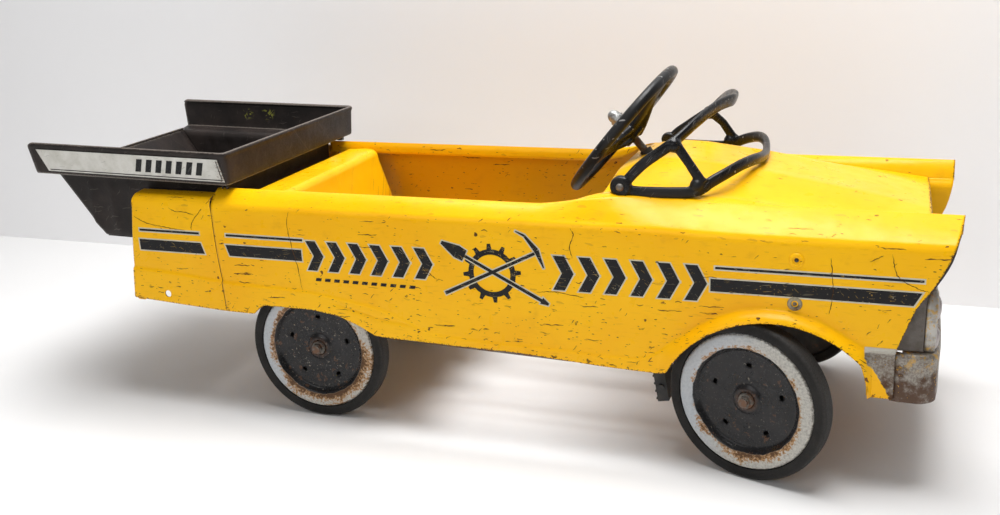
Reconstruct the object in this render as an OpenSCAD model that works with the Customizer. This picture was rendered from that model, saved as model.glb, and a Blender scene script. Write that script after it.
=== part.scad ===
// A child's pressed-steel pedal car with a tipping dump bed.
// X runs forward, Y to the car's left, Z up. Each piece is drawn with X measured from the
// rear axle and then moved so that the origin lies under the middle of the whole car.

/* [Wheels] */
// Radius of each wheel over its tyre
wheel_r = 98.4; // [92:0.2:102]
// Width of the tyre
tyre_w = 24; // [20:1:28]
// Radius of the pressed disc's outer ring
disc_r = 84.4; // [80:0.2:86]
// Radius where the white ring meets the dished centre
dish_r = 66; // [56:1:70]
// Depth of the dish below the ring
dish_depth = 9; // [5:1:10]
// Thickness of the wheel discs
disc_t = 1.6; // [1.2:0.1:2.4]
// Radius on which the five tab slots lie
slot_ring_r = 44; // [36:1:50]
// Radius of the axle ends that carry the wheels
axle_r = 5.5; // [4.5:0.5:6.5]
// Radial clearance of every shaft that turns in a bore
run_gap = 0.05; // [0.02:0.01:0.1]

/* [Chassis] */
// Distance from the rear axle to the kingpins
wheelbase = 588; // [570:1:610]
// Distance from the body's side in to a kingpin
kingpin_inset = 35; // [33:1:44]
// Distance from a kingpin out to its wheel's middle
stub_reach = 33; // [31:1:36]
// Distance from the body's side in to a rear wheel's middle
rear_wheel_inset = 29; // [26:1:32]
// Radius of the crank's throws
crank_throw = 30; // [24:1:36]
// Distance from a rear wheel's middle in to the crank throw beside it
throw_inset = 63; // [60:1:66]
// Width of a frame rail
rail_w = 18; // [14:1:22]
// Distance from the centre to a frame rail's middle
rail_y = 46; // [42:1:50]
// Height of the frame rails above the ground
rail_z = 141; // [139:1:150]

/* [Steering] */
// Angle at which the front wheels stand turned to the right
steer_rest = 18; // [0:1:24]
// Slope of the steering column above the horizontal
column_slope = 56.5; // [50:0.5:60]
// Radius of the steering column
column_r = 5; // [4:0.5:6]
// Length of the steering arms and of the column's bottom crank
steer_arm = 42; // [36:1:46]
// Outer radius of the steering wheel
steering_wheel_r = 104; // [90:1:110]
// Thickness of the steering wheel's rim
steering_rim_t = 14; // [10:1:18]
// Angle by which the steering wheel sits off square to its column
wheel_lean = 13.5; // [0:0.5:16]

/* [Body] */
// Half width of the body at its sides
body_half_w = 184; // [180:1:190]
// Outward flare of the front wheel arch
arch_flare = 14; // [8:1:16]
// Radius of the front wheel arch
arch_r = 134; // [130:1:140]
// Height of the front arch's centre above the ground
arch_z = 66; // [62:1:70]
// Thickness of the sheet steel
sheet_t = 1.5; // [1:0.1:2]
// Height of the shoulder crease along the sides
shoulder_z = 302; // [298:1:306]
// Height of the cockpit rim
rim_z = 316.5; // [312:0.5:322]
// Width of the rails along the cockpit
cockpit_rail_w = 27; // [24:1:30]
// Height of the fender ridges
ridge_z = 321.5; // [318:0.5:326]
// Distance from the body's side in to a fender ridge
ridge_inset = 44; // [40:1:50]
// Distance from the front axle forward to the ridges' tips
tip_reach = 209; // [199:1:220]
// Distance from the front axle forward to the hood's nose
nose_reach = 179; // [174:1:184]
// Distance from the rear axle back to the body's rear end
tail_x = 275; // [270:1:280]
// Distance from the rear axle back to the seam of the rear quarters
seam_x = 130; // [126:1:134]
// Radius of the hole in each rear quarter
quarter_hole_r = 5; // [4:0.5:6]

/* [Dump bed] */
// Distance from the rear axle back to the bed's front
bed_front_x = 103; // [101:1:106]
// Distance from the rear axle back to the bed's rear end
bed_rear_x = 421.5; // [412:0.5:428]
// Half width of the bed over its rim
bed_half_w = 186; // [183:1:190]
// Height of the rim at the front of the bed
bed_rim_z = 369.5; // [366:0.5:373]
// Height of the bed's upper band
band_h = 45; // [40:1:48]
// Half width of the hopper below the band
hopper_half_w = 149; // [146:1:151]
// Depth of the hopper's floor below the rim
hopper_depth = 140; // [134:1:142]
// Thickness of the bed's sheet
bed_t = 1.6; // [1.2:0.1:2.4]
// Angle by which the bed's rim slopes up to the rear
bed_pitch = 1; // [0:0.5:1.5]
// Radius of the bed's hinge rod
hinge_r = 4; // [3:0.5:5]

/* [Hidden] */
$fn = 48;

yellow = [0.93, 0.68, 0.05];
black = [0.06, 0.06, 0.07];
rust = [0.36, 0.25, 0.18];
silver = [0.62, 0.61, 0.58];
white = [0.86, 0.85, 0.80];

// Gap between pieces of different bodies that lie close
gap = 0.3;
kingpin_y = body_half_w - kingpin_inset;
rear_wheel_y = body_half_w - rear_wheel_inset;
throw_y = rear_wheel_y - throw_inset;
rim_y = body_half_w - cockpit_rail_w;
ridge_y = body_half_w - ridge_inset;
tip_x = wheelbase + tip_reach;
nose_x = wheelbase + nose_reach;
// Rear edge of the cowl, and where the cockpit's rails begin to rise towards it
cowl_x = wheelbase - 190;
rise_x = cowl_x - 68;
// Move from the rear axle to the middle of the car
row_x = -(tip_x - bed_rear_x + (bed_rim_z - 4 - 221) * sin(bed_pitch)) / 2;
module row() translate([row_x, 0, 0]) children();

// Helpers

function mix(a, b, t) = a + (b - a) * t;
function clamp01(t) = min(1, max(0, t));
function smooth(t) = let (u = clamp01(t)) u * u * (3 - 2 * u);
function ease(x, x0, x1, a, b) = mix(a, b, smooth((x - x0) / (x1 - x0)));
function unit(v) = v / norm(v);
function turn2(v) = [-v[1], v[0]];

// A 2D path moved sideways by d, to its left
function beside(p, d) = [
    for (i = [0 : len(p) - 1])
        let (
            a = unit(p[max(1, i)] - p[max(1, i) - 1]),
            b = unit(p[min(len(p) - 1, i + 1)] - p[min(len(p) - 1, i + 1) - 1]),
            m = unit(turn2(a + b))
        )
        p[i] + m * d / max(0.3, m * turn2(a))
];
function reversed(p) = [for (i = [len(p) - 1 : -1 : 0]) p[i]];
function arc2(c, r, a0, a1, n = 6) = [
    for (i = [0 : n]) c + r * [cos(mix(a0, a1, i / n)), sin(mix(a0, a1, i / n))]
];

// A strip of sheet that follows a 2D path, with its thickness on the path's left
module strip(p, t, h) linear_extrude(h) polygon(concat(p, reversed(beside(p, t))));

// A closed sheet over a grid of points, with its thickness behind the grid
function grid_normal(g, i, j) = let (
    a = g[min(len(g) - 1, i + 1)][j] - g[max(0, i - 1)][j],
    b = g[i][min(len(g[0]) - 1, j + 1)] - g[i][max(0, j - 1)]
) unit(cross(a, b));
module sheet(g, t) {
    n = len(g);
    m = len(g[0]);
    outer = [for (i = [0 : n - 1]) for (j = [0 : m - 1]) g[i][j]];
    inner = [for (i = [0 : n - 1]) for (j = [0 : m - 1]) g[i][j] - t * grid_normal(g, i, j)];
    s = n * m;
    quads = concat(
        [for (i = [0 : n - 2]) for (j = [0 : m - 2])
            [i * m + j, i * m + j + 1, (i + 1) * m + j + 1, (i + 1) * m + j]],
        [for (i = [0 : n - 2]) for (j = [0 : m - 2])
            [s + i * m + j, s + (i + 1) * m + j, s + (i + 1) * m + j + 1, s + i * m + j + 1]],
        [for (i = [0 : n - 2]) [i * m, (i + 1) * m, s + (i + 1) * m, s + i * m]],
        [for (i = [0 : n - 2]) let (k = i * m + m - 1) [k, s + k, s + k + m, k + m]],
        [for (j = [0 : m - 2]) [j, s + j, s + j + 1, j + 1]],
        [for (j = [0 : m - 2]) let (k = (n - 1) * m) [k + j, k + j + 1, s + k + j + 1, s + k + j]]
    );
    polyhedron(concat(outer, inner), [for (q = quads) for (f = [[q[0], q[1], q[2]], [q[0], q[2], q[3]]]) f]);
}

// A tube of oval section along a 3D path
module tube(path, w, h, up = [0, 0, 1], sides = 8) {
    n = len(path);
    rings = [for (i = [0 : n - 1])
        let (
            t = unit(path[min(n - 1, i + 1)] - path[max(0, i - 1)]),
            s = unit(cross(t, up)),
            u = cross(s, t)
        )
        for (k = [0 : sides - 1])
            path[i] + s * w / 2 * cos(360 * k / sides) + u * h / 2 * sin(360 * k / sides)];
    polyhedron(rings, concat(
        [[for (k = [sides - 1 : -1 : 0]) k]],
        [for (i = [0 : n - 2]) for (k = [0 : sides - 1]) for (f = [0, 1])
            let (a = i * sides + k, b = i * sides + (k + 1) % sides)
            f == 0 ? [a, b + sides, a + sides] : [a, b, b + sides]],
        [[for (k = [0 : sides - 1]) (n - 1) * sides + k]]
    ));
}

// A cylinder along Y, centred on y
module along_y(r, w, x = 0, y = 0, z = 0)
    translate([x, y, z]) rotate([90, 0, 0]) cylinder(r = r, h = w, center = true);

// Body surfaces

arch_x = wheelbase + 15;
arch_end = arch_r - 14.5;
sill_line = [
    [-tail_x, 158], [-seam_x, 149.5], [-82, 149], [-66, 162.5], [10, 162.5], [50, 156.5],
    [80, 144.5], [100, 134], [124, 132], [mix(124, cowl_x, 0.64), 129.5], [cowl_x, 123],
    [arch_x - arch_end - 13, 120.5], [arch_x - arch_end, 125]
];
// Height of the panel's lower edge
function edge_z(x) = abs(x - arch_x) < arch_end + 0.3
    ? arch_z + sqrt(arch_r * arch_r - (x - arch_x) * (x - arch_x))
    : x < arch_x ? lookup(x, sill_line) : 117;
function flare(x) = let (u = abs(x - arch_x) / (arch_r - 2)) u < 1 ? arch_flare * (1 - pow(u, 6)) : 0;
// The front edge slopes forward from the bumper up to the ridge's tip
function front_edge_x(z) = lookup(z, [
    [112, tip_x - 61], [174, tip_x - 60], [253, tip_x - 27], [308, tip_x - 7], [322, tip_x]
]);
fan_x = tip_x - 97;
function front_x(x, z) = x <= fan_x ? x : fan_x + (x - fan_x) / 100 * (front_edge_x(z) - fan_x);

function panel_ridge_y(x) = ease(x, cowl_x - 10, cowl_x + 72, rim_y + 2, ridge_y);
function panel_ridge_z(x) = lookup(x, [
    [rise_x, rim_z], [rise_x + 22, rim_z + 3], [rise_x + 45, rim_z + 9], [cowl_x + 6, rim_z + 16],
    [cowl_x + 52, rim_z + 15], [cowl_x + 122, rim_z + 9], [cowl_x + 202, ridge_z + 0.5], [tip_x + 3, ridge_z]
]);
function join_y(x) = x < cowl_x
    ? ease(x, rise_x + 15, cowl_x, rim_y - 1.5, rim_y - 9)
    : lookup(x, [
        for (d = [0, 14, 27, 40, 52])
            [cowl_x + d, ease(d, 0, 52, rim_y - 9, ridge_y - 13)]
    ]);
function join_z(x) = lookup(x, [
    [rise_x, rim_z - 8], [rise_x + 22, rim_z - 3], [rise_x + 45, rim_z + 8], [cowl_x, rim_z + 17],
    [cowl_x + 52, rim_z + 16], [cowl_x + 102, rim_z + 13], [cowl_x + 162, rim_z + 8],
    [cowl_x + 222, ridge_z - 4],
    [cowl_x + 302, ridge_z - 13], [nose_x, ridge_z - 21.5], [tip_x + 3, ridge_z - 24]
]);

// One cross-section of a side panel, from the lower edge up over the shoulder to the inner edge
function side_section(x) = let (
    b = edge_z(x),
    f = flare(x),
    w = body_half_w,
    s = shoulder_z - ease(x, cowl_x, cowl_x + 200, 0, 3),
    ry = panel_ridge_y(x),
    rz = panel_ridge_z(x),
    jy = join_y(x) + 2 * gap,
    jz = join_z(x),
    top = s - 16
) concat(
    [[w + f - 2, b], [w + f, b + 1.5], [w + f * 0.95, b + 6]],
    [[w + 0.5 + f * 0.55, b + 11], [w + 0.5, b + 16]],
    [for (k = [1 : 4]) [w + 1.5 * sin(36 * k), mix(b + 16, top, k / 5)]],
    [[w, top], [w - 0.5, s - 8], [w - 2.5, s - 2.5], [w - 6, s + 1.5]],
    [for (k = [1 : 2]) [mix(w - 6, ry + 3, k / 3), mix(s + 1.5, rz - 1.5, k / 3) + 1.2]],
    [[ry + 3, rz - 1.2], [ry, rz], [mix(ry, jy, 0.4), mix(rz, jz, 0.12)]],
    [[mix(ry, jy, 0.8), mix(rz, jz, 0.6)], [jy, jz]]
);
arch_steps = 20;
arch_span = acos(arch_end / arch_r);
side_stations = concat(
    [-seam_x + gap, -104, -82, -75, -66, -30, 10, 32, 50, 66, 80, 90, 100, 124],
    [for (t = [0.22, 0.56, 0.85, 1]) mix(124, rise_x, t)],
    [for (d = [22, 45, 68, 82, 95, 108, 120]) rise_x + d],
    [arch_x - arch_end - 13, arch_x - arch_end - 4],
    [for (k = [0 : arch_steps]) arch_x + arch_r * cos(mix(180 - arch_span, arch_span, k / arch_steps))],
    [for (d = [6, 17, 29, 49, 64, 79]) arch_x + arch_end + d * (tip_x + 3 - arch_x - arch_end) / 79]
);
function side_grid() = [for (x = side_stations) [for (p = side_section(x)) [front_x(x, p[1]), -p[0], p[1]]]];

module side_panel() color(yellow) sheet(side_grid(), sheet_t);

// Hood and cowl

// Height of the hood along its middle
function crown_z(x) = lookup(x, [
    [cowl_x, 340], [cowl_x + 14, 346], [cowl_x + 32, 351.5], [cowl_x + 57, 355], [cowl_x + 92, 353.5],
    [cowl_x + 127, 349], [cowl_x + 168, 344], [cowl_x + 212, 336.5], [cowl_x + 272, 326], [cowl_x + 322, 316],
    [nose_x, 305]
]);
hood_shape = [
    [0, 0], [0.25, 0.0], [0.44, -0.03], [0.52, 0.10], [0.62, 0.30], [0.80, 0.72], [0.92, 0.95], [1, 1]
];
hood_stations = concat(
    [for (d = [0, 14, 27, 40, 52, 77, 102, 132, 162, 192, 222, 262, 302, 335, 352]) cowl_x + d], [nose_x - 4]
);
function hood_row(x, drop = 0, fwd = 0) = let (
    c = crown_z(x),
    e = join_z(x),
    y = join_y(x)
) concat(
    [for (i = [len(hood_shape) - 1 : -1 : 1]) let (p = hood_shape[i])
        [x + fwd, -y * p[0], mix(c, e, p[1]) - drop]],
    [for (p = hood_shape) [x + fwd, y * p[0], mix(c, e, p[1]) - drop]]
);
module hood() color(yellow) difference() {
    sheet(concat(
        [for (x = hood_stations) hood_row(x)],
        [hood_row(nose_x - 4, 3, 3), [for (p = hood_row(nose_x - 4, 0, 4)) [p[0], p[1], nose_z]]]
    ), sheet_t);
    column_axis() cylinder(r = column_r + 3.5, h = 500);
}

// Rear quarters, one each side behind the seam

quarter_outline = concat(
    [[body_half_w - 3, 140], [body_half_w, 146], [body_half_w, 186], [body_half_w - 1.5, 190]],
    [[body_half_w - 1.5, 192], [body_half_w + 0.5, 197], [body_half_w + 1.5, 235]],
    [[body_half_w, shoulder_z - 12]],
    arc2([body_half_w - 12, shoulder_z - 6], 12, 0, 80, 6),
    [[rim_y + 4, shoulder_z + 7], [rim_y - 2, shoulder_z + 7]],
    [[rim_y - 3.5, shoulder_z + 4], [rim_y - 3.5, shoulder_z - 6]]
);
module rear_quarter() color(yellow) difference() {
    translate([-tail_x, 0, 0]) rotate([90, 0, 90]) mirror([1, 0, 0])
        strip(quarter_outline, sheet_t, tail_x - seam_x);
    translate([-tail_x - 1, -220, 158]) rotate([0, atan2(8.5, tail_x - seam_x), 0])
        translate([0, 0, -40]) cube([180, 100, 40]);
    along_y(quarter_hole_r, 20, -215, -body_half_w, 168);
}

// Seat: back, pan and front lip in one pressing
seat_half_w = rim_y - 1.5 - gap;
pan_z = rail_z + 11;
module seat() color(yellow) difference() {
    translate([0, seat_half_w, 0]) rotate([90, 0, 0]) strip(seat_path, sheet_t, 2 * seat_half_w);
    // Room for the rear wheels
    for (s = [-1, 1]) translate([-60, s * (rear_wheel_y - tyre_w / 2 - 3 + 50) - 50, 100])
        cube([260, 100, 2 * wheel_r - 90]);
}
seat_path = reversed(concat(
    [[-99, 292], [-99, 300]], arc2([-95, 301], 4, 180, 100, 3),
    [[-52, 308]], arc2([-47, 295], 13, 85, 10, 5),
    [[-18, 232]], arc2([8, pan_z + 30], 30, 170, 270, 6), arc2([154, pan_z - 6], 6, 90, 0, 4),
    [[160, pan_z - 7.6]]
));

rear_panel_w = 2 * (body_half_w - sheet_t);
rear_panel_x = -tail_x + 3;
module rear_panel() color(yellow) translate([rear_panel_x, rear_panel_w / 2, 0]) rotate([90, 0, 0])
    strip([[14, 156], [4, 156], [0, 160], [0, 180], [4, 184], [14, 184]], sheet_t, rear_panel_w);

// Front end

grille_half_w = body_half_w - 2;
nose_z = 289;
grille_x = nose_x - 15;
lamp_y = body_half_w - 32;
lamp_r = 21;
function lamp_at(k) = [grille_x + 5 + 5 * k, mix(196, 232, k)];
module grille() color(silver) {
    translate([0, grille_half_w, 0]) rotate([90, 0, 0])
        strip([[nose_x - 0.5, nose_z - 0.25], [nose_x - 2, nose_z - 8], [nose_x - 9, 270], [nose_x - 17, 225],
            [nose_x - 23, bumper_top + 4], [nose_x - 23, bumper_top]], -sheet_t, 2 * grille_half_w);
    for (k = [0 : 5]) translate([mix(grille_x + 2, grille_x - 4, k / 5), 0, mix(262, 186, k / 5)])
        rotate([90, 0, 0]) cylinder(r = 3.2, h = 2 * (lamp_y - lamp_r - 12), center = true, $fn = 24);
    for (s = [-1, 1]) translate([grille_x, s * (lamp_y - lamp_r - 9), 222]) rotate([0, -5, 0])
        cube([6, 4, 92], center = true);
}
// Pods of two stacked lamps on the grille
module headlamps() color(silver) difference() {
    for (s = [-1, 1]) for (k = [0, 1]) translate([lamp_at(k)[0], s * lamp_y, lamp_at(k)[1]])
        rotate([0, 90, 0]) rotate_extrude() polygon(concat(
            [[0, -16], [lamp_r, -16], [lamp_r, 4], [lamp_r - 3, 8], [lamp_r - 6, 8]],
            arc2([0, -7], 21, 45, 90, 5)
        ));
    // Flush with the grille's front
    translate([0, 250, 0]) rotate([90, 0, 0]) linear_extrude(500) polygon([
        [nose_x - 60, 140], [nose_x - 23, 140], [nose_x - 23, bumper_top + 4], [nose_x - 17, 225],
        [nose_x - 9, 270], [nose_x - 60, 270]
    ]);
}

bumper_z = 114;
bumper_h = 58;
bumper_top = bumper_z + bumper_h;
bumper_x = nose_x + 19;
bumper_end_y = body_half_w - 1;
function bumper_front(d) = concat(
    arc2([bumper_x - 28, -bumper_end_y + 24], 24 - d, -90, -20, 5),
    [[bumper_x - 2 - d, -120], [bumper_x - d, 0], [bumper_x - 2 - d, 120]],
    arc2([bumper_x - 28, bumper_end_y - 24], 24 - d, 20, 90, 5)
);
// The bumper butts on the front edges of the side panels, and its top closes the gap below the grille
module bumper() color(silver) {
    butt_x = tip_x - 60 + 0.3;
    translate([0, 0, bumper_z])
        strip(concat([[butt_x, -bumper_end_y]], bumper_front(0), [[butt_x, bumper_end_y]]), 2, bumper_h);
    translate([0, 0, bumper_top - 2]) linear_extrude(2) polygon(concat(
        bumper_front(1), [[nose_x - 24.5, bumper_end_y - 1], [nose_x - 24.5, -bumper_end_y + 1]]
    ));
}

// Windshield frame: a lower rail on the cowl, a top rail arched over it, and two pillars

function curve(p, n) = [for (i = [0 : len(p) - 2]) for (k = [0 : (i == len(p) - 2 ? n : n - 1)])
    let (
        a = p[max(0, i - 1)], b = p[i], c = p[i + 1], d = p[min(len(p) - 1, i + 2)], t = k / n
    )
    b + 0.5 * ((c - a) * t + (2 * a - 5 * b + 4 * c - d) * t * t + (3 * b - a - 3 * c + d) * t * t * t)];
function mirrored(p) = concat(p, [for (i = [len(p) - 2 : -1 : 0]) [p[i][0], -p[i][1], p[i][2]]]);
shield_y = rim_y - 14;
shield_corner = [cowl_x + 12, -shield_y, 340];
lower_rail = [shield_corner, [cowl_x + 52, -shield_y + 6, 342], [cowl_x + 96, -shield_y + 16, 341],
    [cowl_x + 122, -shield_y + 39, 345], [cowl_x + 147, -62, 353], [cowl_x + 170, 0, 352]];
top_rail = [shield_corner, [cowl_x + 42, -shield_y + 6, 363], [cowl_x + 78, -shield_y + 24, 390],
    [cowl_x + 102, -86, 411], [cowl_x + 125, -42, 424], [cowl_x + 133, 0, 426]];
module windshield_frame() color(black) {
    tube(curve(mirrored(lower_rail), 3), 9, 12);
    tube(curve(mirrored(top_rail), 3), 9, 12);
    for (s = [-1, 1]) {
        tube([[cowl_x + 84, s * (shield_y - 28), 393], [cowl_x + 105, s * (shield_y - 21), 344]],
            11, 9, [1, 0, 0]);
        along_y(8.5, 11, cowl_x + 12, s * shield_y, 342.7);
    }
}
module windshield_screws() color(rust) for (s = [-1, 1]) translate([cowl_x + 12, s * (shield_y + 5.5), 342.7])
    rotate([-s * 90, 0, 0]) rotate_extrude() polygon([[0, 0], [4.5, 0], [4.2, 1.2], [2.5, 2.2], [0, 2.6]]);

module side_rivets() color(rust) for (s = [-1, 1]) for (z = [222, 273])
    translate([arch_x + 23, s * (body_half_w + 1.3), z]) rotate([-s * 90, 0, 0]) rotate_extrude()
        polygon([[2, 0], [8, 0], [7.5, 1.6], [6, 2.4], [4, 2.0], [2, 0.8]]);

// Chassis

rail_x0 = -30;
rail_x1 = wheelbase - 10;
module frame_rails() color(black) {
    for (s = [-1, 1]) translate([0, s * rail_y, 0]) {
        translate([rail_x0, -rail_w / 2, rail_z]) cube([rail_x1 - rail_x0, rail_w, 3]);
        for (e = [-1, 1]) translate([rail_x0, e * (rail_w / 2 - 1.5) - 1.5, rail_z - 9])
            cube([rail_x1 - rail_x0, 3, 9]);
    }
    // Risers that carry the seat
    for (x = [12, 126]) translate([x, -rail_y - rail_w / 2, rail_z + 3])
        cube([20, 2 * rail_y + rail_w, pan_z - sheet_t - rail_z - 3]);
}
beam_z = 110;
beam_h = 26;
sleeve_r = 9;
kingpin_r = 5;
module front_axle_beam() color(black) translate([wheelbase, 0, 0]) {
    difference() {
        union() {
            translate([-3, -kingpin_y, beam_z]) cube([6, 2 * kingpin_y, beam_h]);
            for (s = [-1, 1]) translate([0, s * kingpin_y, beam_z]) cylinder(r = sleeve_r, h = beam_h);
        }
        for (s = [-1, 1]) translate([0, s * kingpin_y, beam_z - 1])
            cylinder(r = kingpin_r + run_gap, h = beam_h + 2);
    }
    for (s = [-1, 1]) translate([0, s * rail_y, 0]) {
        translate([-40, -rail_w / 2 + 3, rail_z - 3]) cube([43, rail_w - 6, 3]);
        translate([-3, -rail_w / 2 + 3, beam_z + beam_h - 1])
            cube([6, rail_w - 6, rail_z - beam_z - beam_h + 1]);
    }
}
module kingpin_nut(s) color(rust) translate([wheelbase, s * kingpin_y, beam_z + beam_h + gap])
    rotate([0, 0, -steer_rest]) difference() {
        cylinder(r = 8, h = 4.5, $fn = 6);
        translate([0, 0, -1]) cylinder(r = kingpin_r, h = 8);
    }

hanger_y = mix(throw_y, rear_wheel_y, 10 / 21);
hanger_t = 4;
bearing_r = 14;
bearing_w = 9;
module axle_hangers() color(black) for (s = [-1, 1]) difference() {
    translate([0, s * hanger_y, 0]) {
        rotate([90, 0, 0]) linear_extrude(hanger_t, center = true) polygon(concat(
            [[10, pan_z - sheet_t], [50, pan_z - sheet_t]], arc2([0, wheel_r], 22, 10, -190, 10)));
        translate([10, -8, pan_z - sheet_t - 3]) cube([40, 16, 3]);
    }
    along_y(bearing_r, 40, 0, s * hanger_y, wheel_r);
}
module axle_bearings() color(silver) for (s = [-1, 1])
    translate([0, s * hanger_y, wheel_r]) rotate([-90 * s, 0, 0]) difference() {
        union() {
            cylinder(r = bearing_r, h = bearing_w, center = true);
            translate([0, 0, hanger_t / 2]) cylinder(r = bearing_r + 4, h = 2);
        }
        cylinder(r = axle_r + run_gap, h = 40, center = true);
    }

// Places a child on the steering column, with Z pointing up towards the driver
column_pin_z = 80;
function column_dir() = [-cos(column_slope), 0, sin(column_slope)];
column_bottom = [wheelbase - steer_arm, 0, column_pin_z]
    + steer_arm * [sin(column_slope), 0, cos(column_slope)];
module column_axis() translate(column_bottom) rotate([0, -(90 - column_slope), 0]) children();
hub_along = 330;
rim_rise = 6;

module column_bracket() color(black) column_axis() difference() {
    union() {
        translate([0, 0, 38]) cylinder(r = column_r + 5, h = 22);
        translate([-4, -rail_y + rail_w / 2, 44]) cube([8, 2 * rail_y - rail_w, 4]);
    }
    cylinder(r = column_r + run_gap, h = 100);
}
module column_grommet() color(black) column_axis() translate([0, 0, 285]) difference() {
    cylinder(r = column_r + 3, h = 14);
    translate([0, 0, -1]) cylinder(r = column_r + run_gap, h = 20);
}
crank_pin_r = 4;
module steering_column() color(rust) column_axis() rotate([0, 0, -steer_rest]) {
    translate([0, 0, 4]) cylinder(r = column_r, h = hub_along + 8 - 4);
    translate([0, 0, 4]) linear_extrude(6) union() {
        circle(r = column_r + 1);
        translate([-steer_arm, -5]) square([steer_arm, 10]);
        translate([-steer_arm, 0]) circle(r = 6);
    }
    translate([-steer_arm, 0, -12]) cylinder(r = crank_pin_r, h = 20);
}
module on_wheel_hub() column_axis() translate([0, 0, hub_along]) rotate([0, -wheel_lean, 0]) children();
module steering_wheel() color(black) difference() {
    on_wheel_hub() {
        translate([0, 0, rim_rise]) rotate_extrude($fn = 64)
            translate([steering_wheel_r - steering_rim_t / 2, 0]) circle(d = steering_rim_t, $fn = 24);
        translate([0, 0, -14]) cylinder(r = 19, h = 24);
        cylinder(r = 24, h = 6, center = true);
        for (a = [90, -90, 180]) rotate([0, 0, a - steer_rest]) rotate([0, -3.5, 0])
            translate([8, -13, -4]) cube([steering_wheel_r - steering_rim_t - 4, 26, 7]);
    }
    column_axis() cylinder(r = column_r, h = hub_along + 12);
}
module acorn_nut() color(silver) on_wheel_hub() translate([0, 0, 10]) {
    cylinder(r = 10, h = 2.5);
    translate([0, 0, 2]) cylinder(r = 8.5, h = 8, $fn = 6);
    translate([0, 0, 9]) rotate_extrude() polygon(concat([[0, 0]], arc2([0, 0], 7.2, 0, 90, 6)));
}

// Front spindles: kingpin, knuckle, stub axle and steering arm in one forging

spindle_z = wheel_r;
arm_z = column_pin_z + 5;
module spindle(s) color(rust) translate([wheelbase, s * kingpin_y, 0]) rotate([0, 0, -steer_rest]) {
    translate([0, 0, arm_z]) cylinder(r = 8.5, h = beam_z - gap - arm_z);
    translate([0, 0, spindle_z]) cylinder(r = kingpin_r, h = beam_z + beam_h + 8 - spindle_z);
    along_y(axle_r, stub_reach + stub_end, 0, s * (stub_reach + stub_end) / 2, spindle_z);
    along_y(9, 6, 0, s * (stub_reach - tyre_w / 2 - gap - 3), spindle_z);
    translate([-steer_arm, 0, arm_z]) linear_extrude(6) union() {
        translate([0, -6]) square([steer_arm, 12]);
        circle(r = 8);
    }
    translate([-steer_arm, 0, arm_z - 12]) cylinder(r = crank_pin_r, h = 14);
}
tie_z = column_pin_z - 4;
tie_t = 4;
module tie_rod() color(rust) {
    reach = [-steer_arm * cos(steer_rest), steer_arm * sin(steer_rest)];
    difference() {
        translate([wheelbase + reach[0], reach[1], tie_z]) linear_extrude(tie_t) {
            for (s = [-1, 1]) translate([0, s * kingpin_y]) circle(r = 8);
            translate([-6, -kingpin_y]) square([12, 2 * kingpin_y]);
            translate([-12, -14]) square([28, 28]);
        }
        for (s = [-1, 1]) translate([wheelbase + reach[0], reach[1] + s * kingpin_y, tie_z - 1])
            cylinder(r = crank_pin_r + (s < 0 ? run_gap : gap), h = 8);
        // Slot for the column's pin, which leans with the column
        column_axis() rotate([0, 0, -steer_rest]) translate([-steer_arm, 0, -20]) rotate([0, 0, steer_rest])
            linear_extrude(30) square([2 * crank_pin_r + 1.6, 2 * crank_pin_r + 2 * gap], center = true);
    }
}

// Wheels, drawn round the Y axis with the outer face towards +Y

seat_r = disc_r + 0.6;
rim_y0 = tyre_w / 2 - 4;
module tyre() color(black) rotate([-90, 0, 0]) rotate_extrude($fn = 96) polygon(concat(
    [[disc_r - 4, -rim_y0], [seat_r, -rim_y0], [seat_r, -tyre_w / 2 + 0.5]],
    arc2([wheel_r - 4, -tyre_w / 2 + 4], 4, -90, 0, 5), arc2([wheel_r - 4, tyre_w / 2 - 4], 4, 0, 90, 5),
    [[seat_r, tyre_w / 2 - 0.5], [seat_r, rim_y0], [disc_r - 4, rim_y0]]
));
hub_r = axle_r + 4;
hub_end = 7;
module disc_profile() polygon(let (
    face = tyre_w / 2 + 0.5,
    low = face - dish_depth,
    p = concat(
        [[hub_r, low + 2], [15, low + 2], [20, low - 1], [34, low - 1], [38, low]],
        [[dish_r - 5, low], [dish_r, face - 3]],
        arc2([dish_r + 8, face - 7], 8, 155, 90, 4),
        arc2([disc_r - 4, face - 4], 4, 90, 0, 4), [[disc_r, rim_y0]]
    )
) concat(p, reversed(beside(p, -disc_t))));
module disc() color(black) difference() {
    rotate([-90, 0, 0]) rotate_extrude($fn = 96) disc_profile();
    for (k = [0 : 4]) rotate([0, 72 * k + 20, 0]) translate([slot_ring_r, tyre_w / 2 - 10, 0])
        cube([4, 20, 9], center = true);
}
module inner_disc() color(black) rotate([-90, 0, 0]) rotate_extrude($fn = 96) polygon(let (
    face = -tyre_w / 2 - 0.5,
    p = concat([[hub_r, face + 5], [20, face + 5], [60, face + 2], [70, face]],
        arc2([disc_r - 4, face + 4], 4, -90, 0, 4), [[disc_r, -rim_y0]])
) concat(p, reversed(beside(p, disc_t))));
module hub(bore) color(rust) rotate([-90, 0, 0]) difference() {
    translate([0, 0, -tyre_w / 2]) cylinder(r = hub_r, h = tyre_w / 2 + hub_end);
    cylinder(r = bore, h = 60, center = true);
}
stub_end = hub_end + gap + 8;
module axle_nut() color(rust) translate([0, hub_end + gap, 0]) rotate([-90, 0, 0]) difference() {
    union() {
        cylinder(r = 9, h = 1.5);
        translate([0, 0, 1.5]) cylinder(r = 7.5, h = 4.5, $fn = 6);
    }
    cylinder(r = axle_r, h = 60, center = true);
}
module front_wheel_place(s) translate([wheelbase, s * kingpin_y, wheel_r]) rotate([0, 0, -steer_rest])
    translate([0, s * stub_reach, 0]) to_side(s) children();
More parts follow.
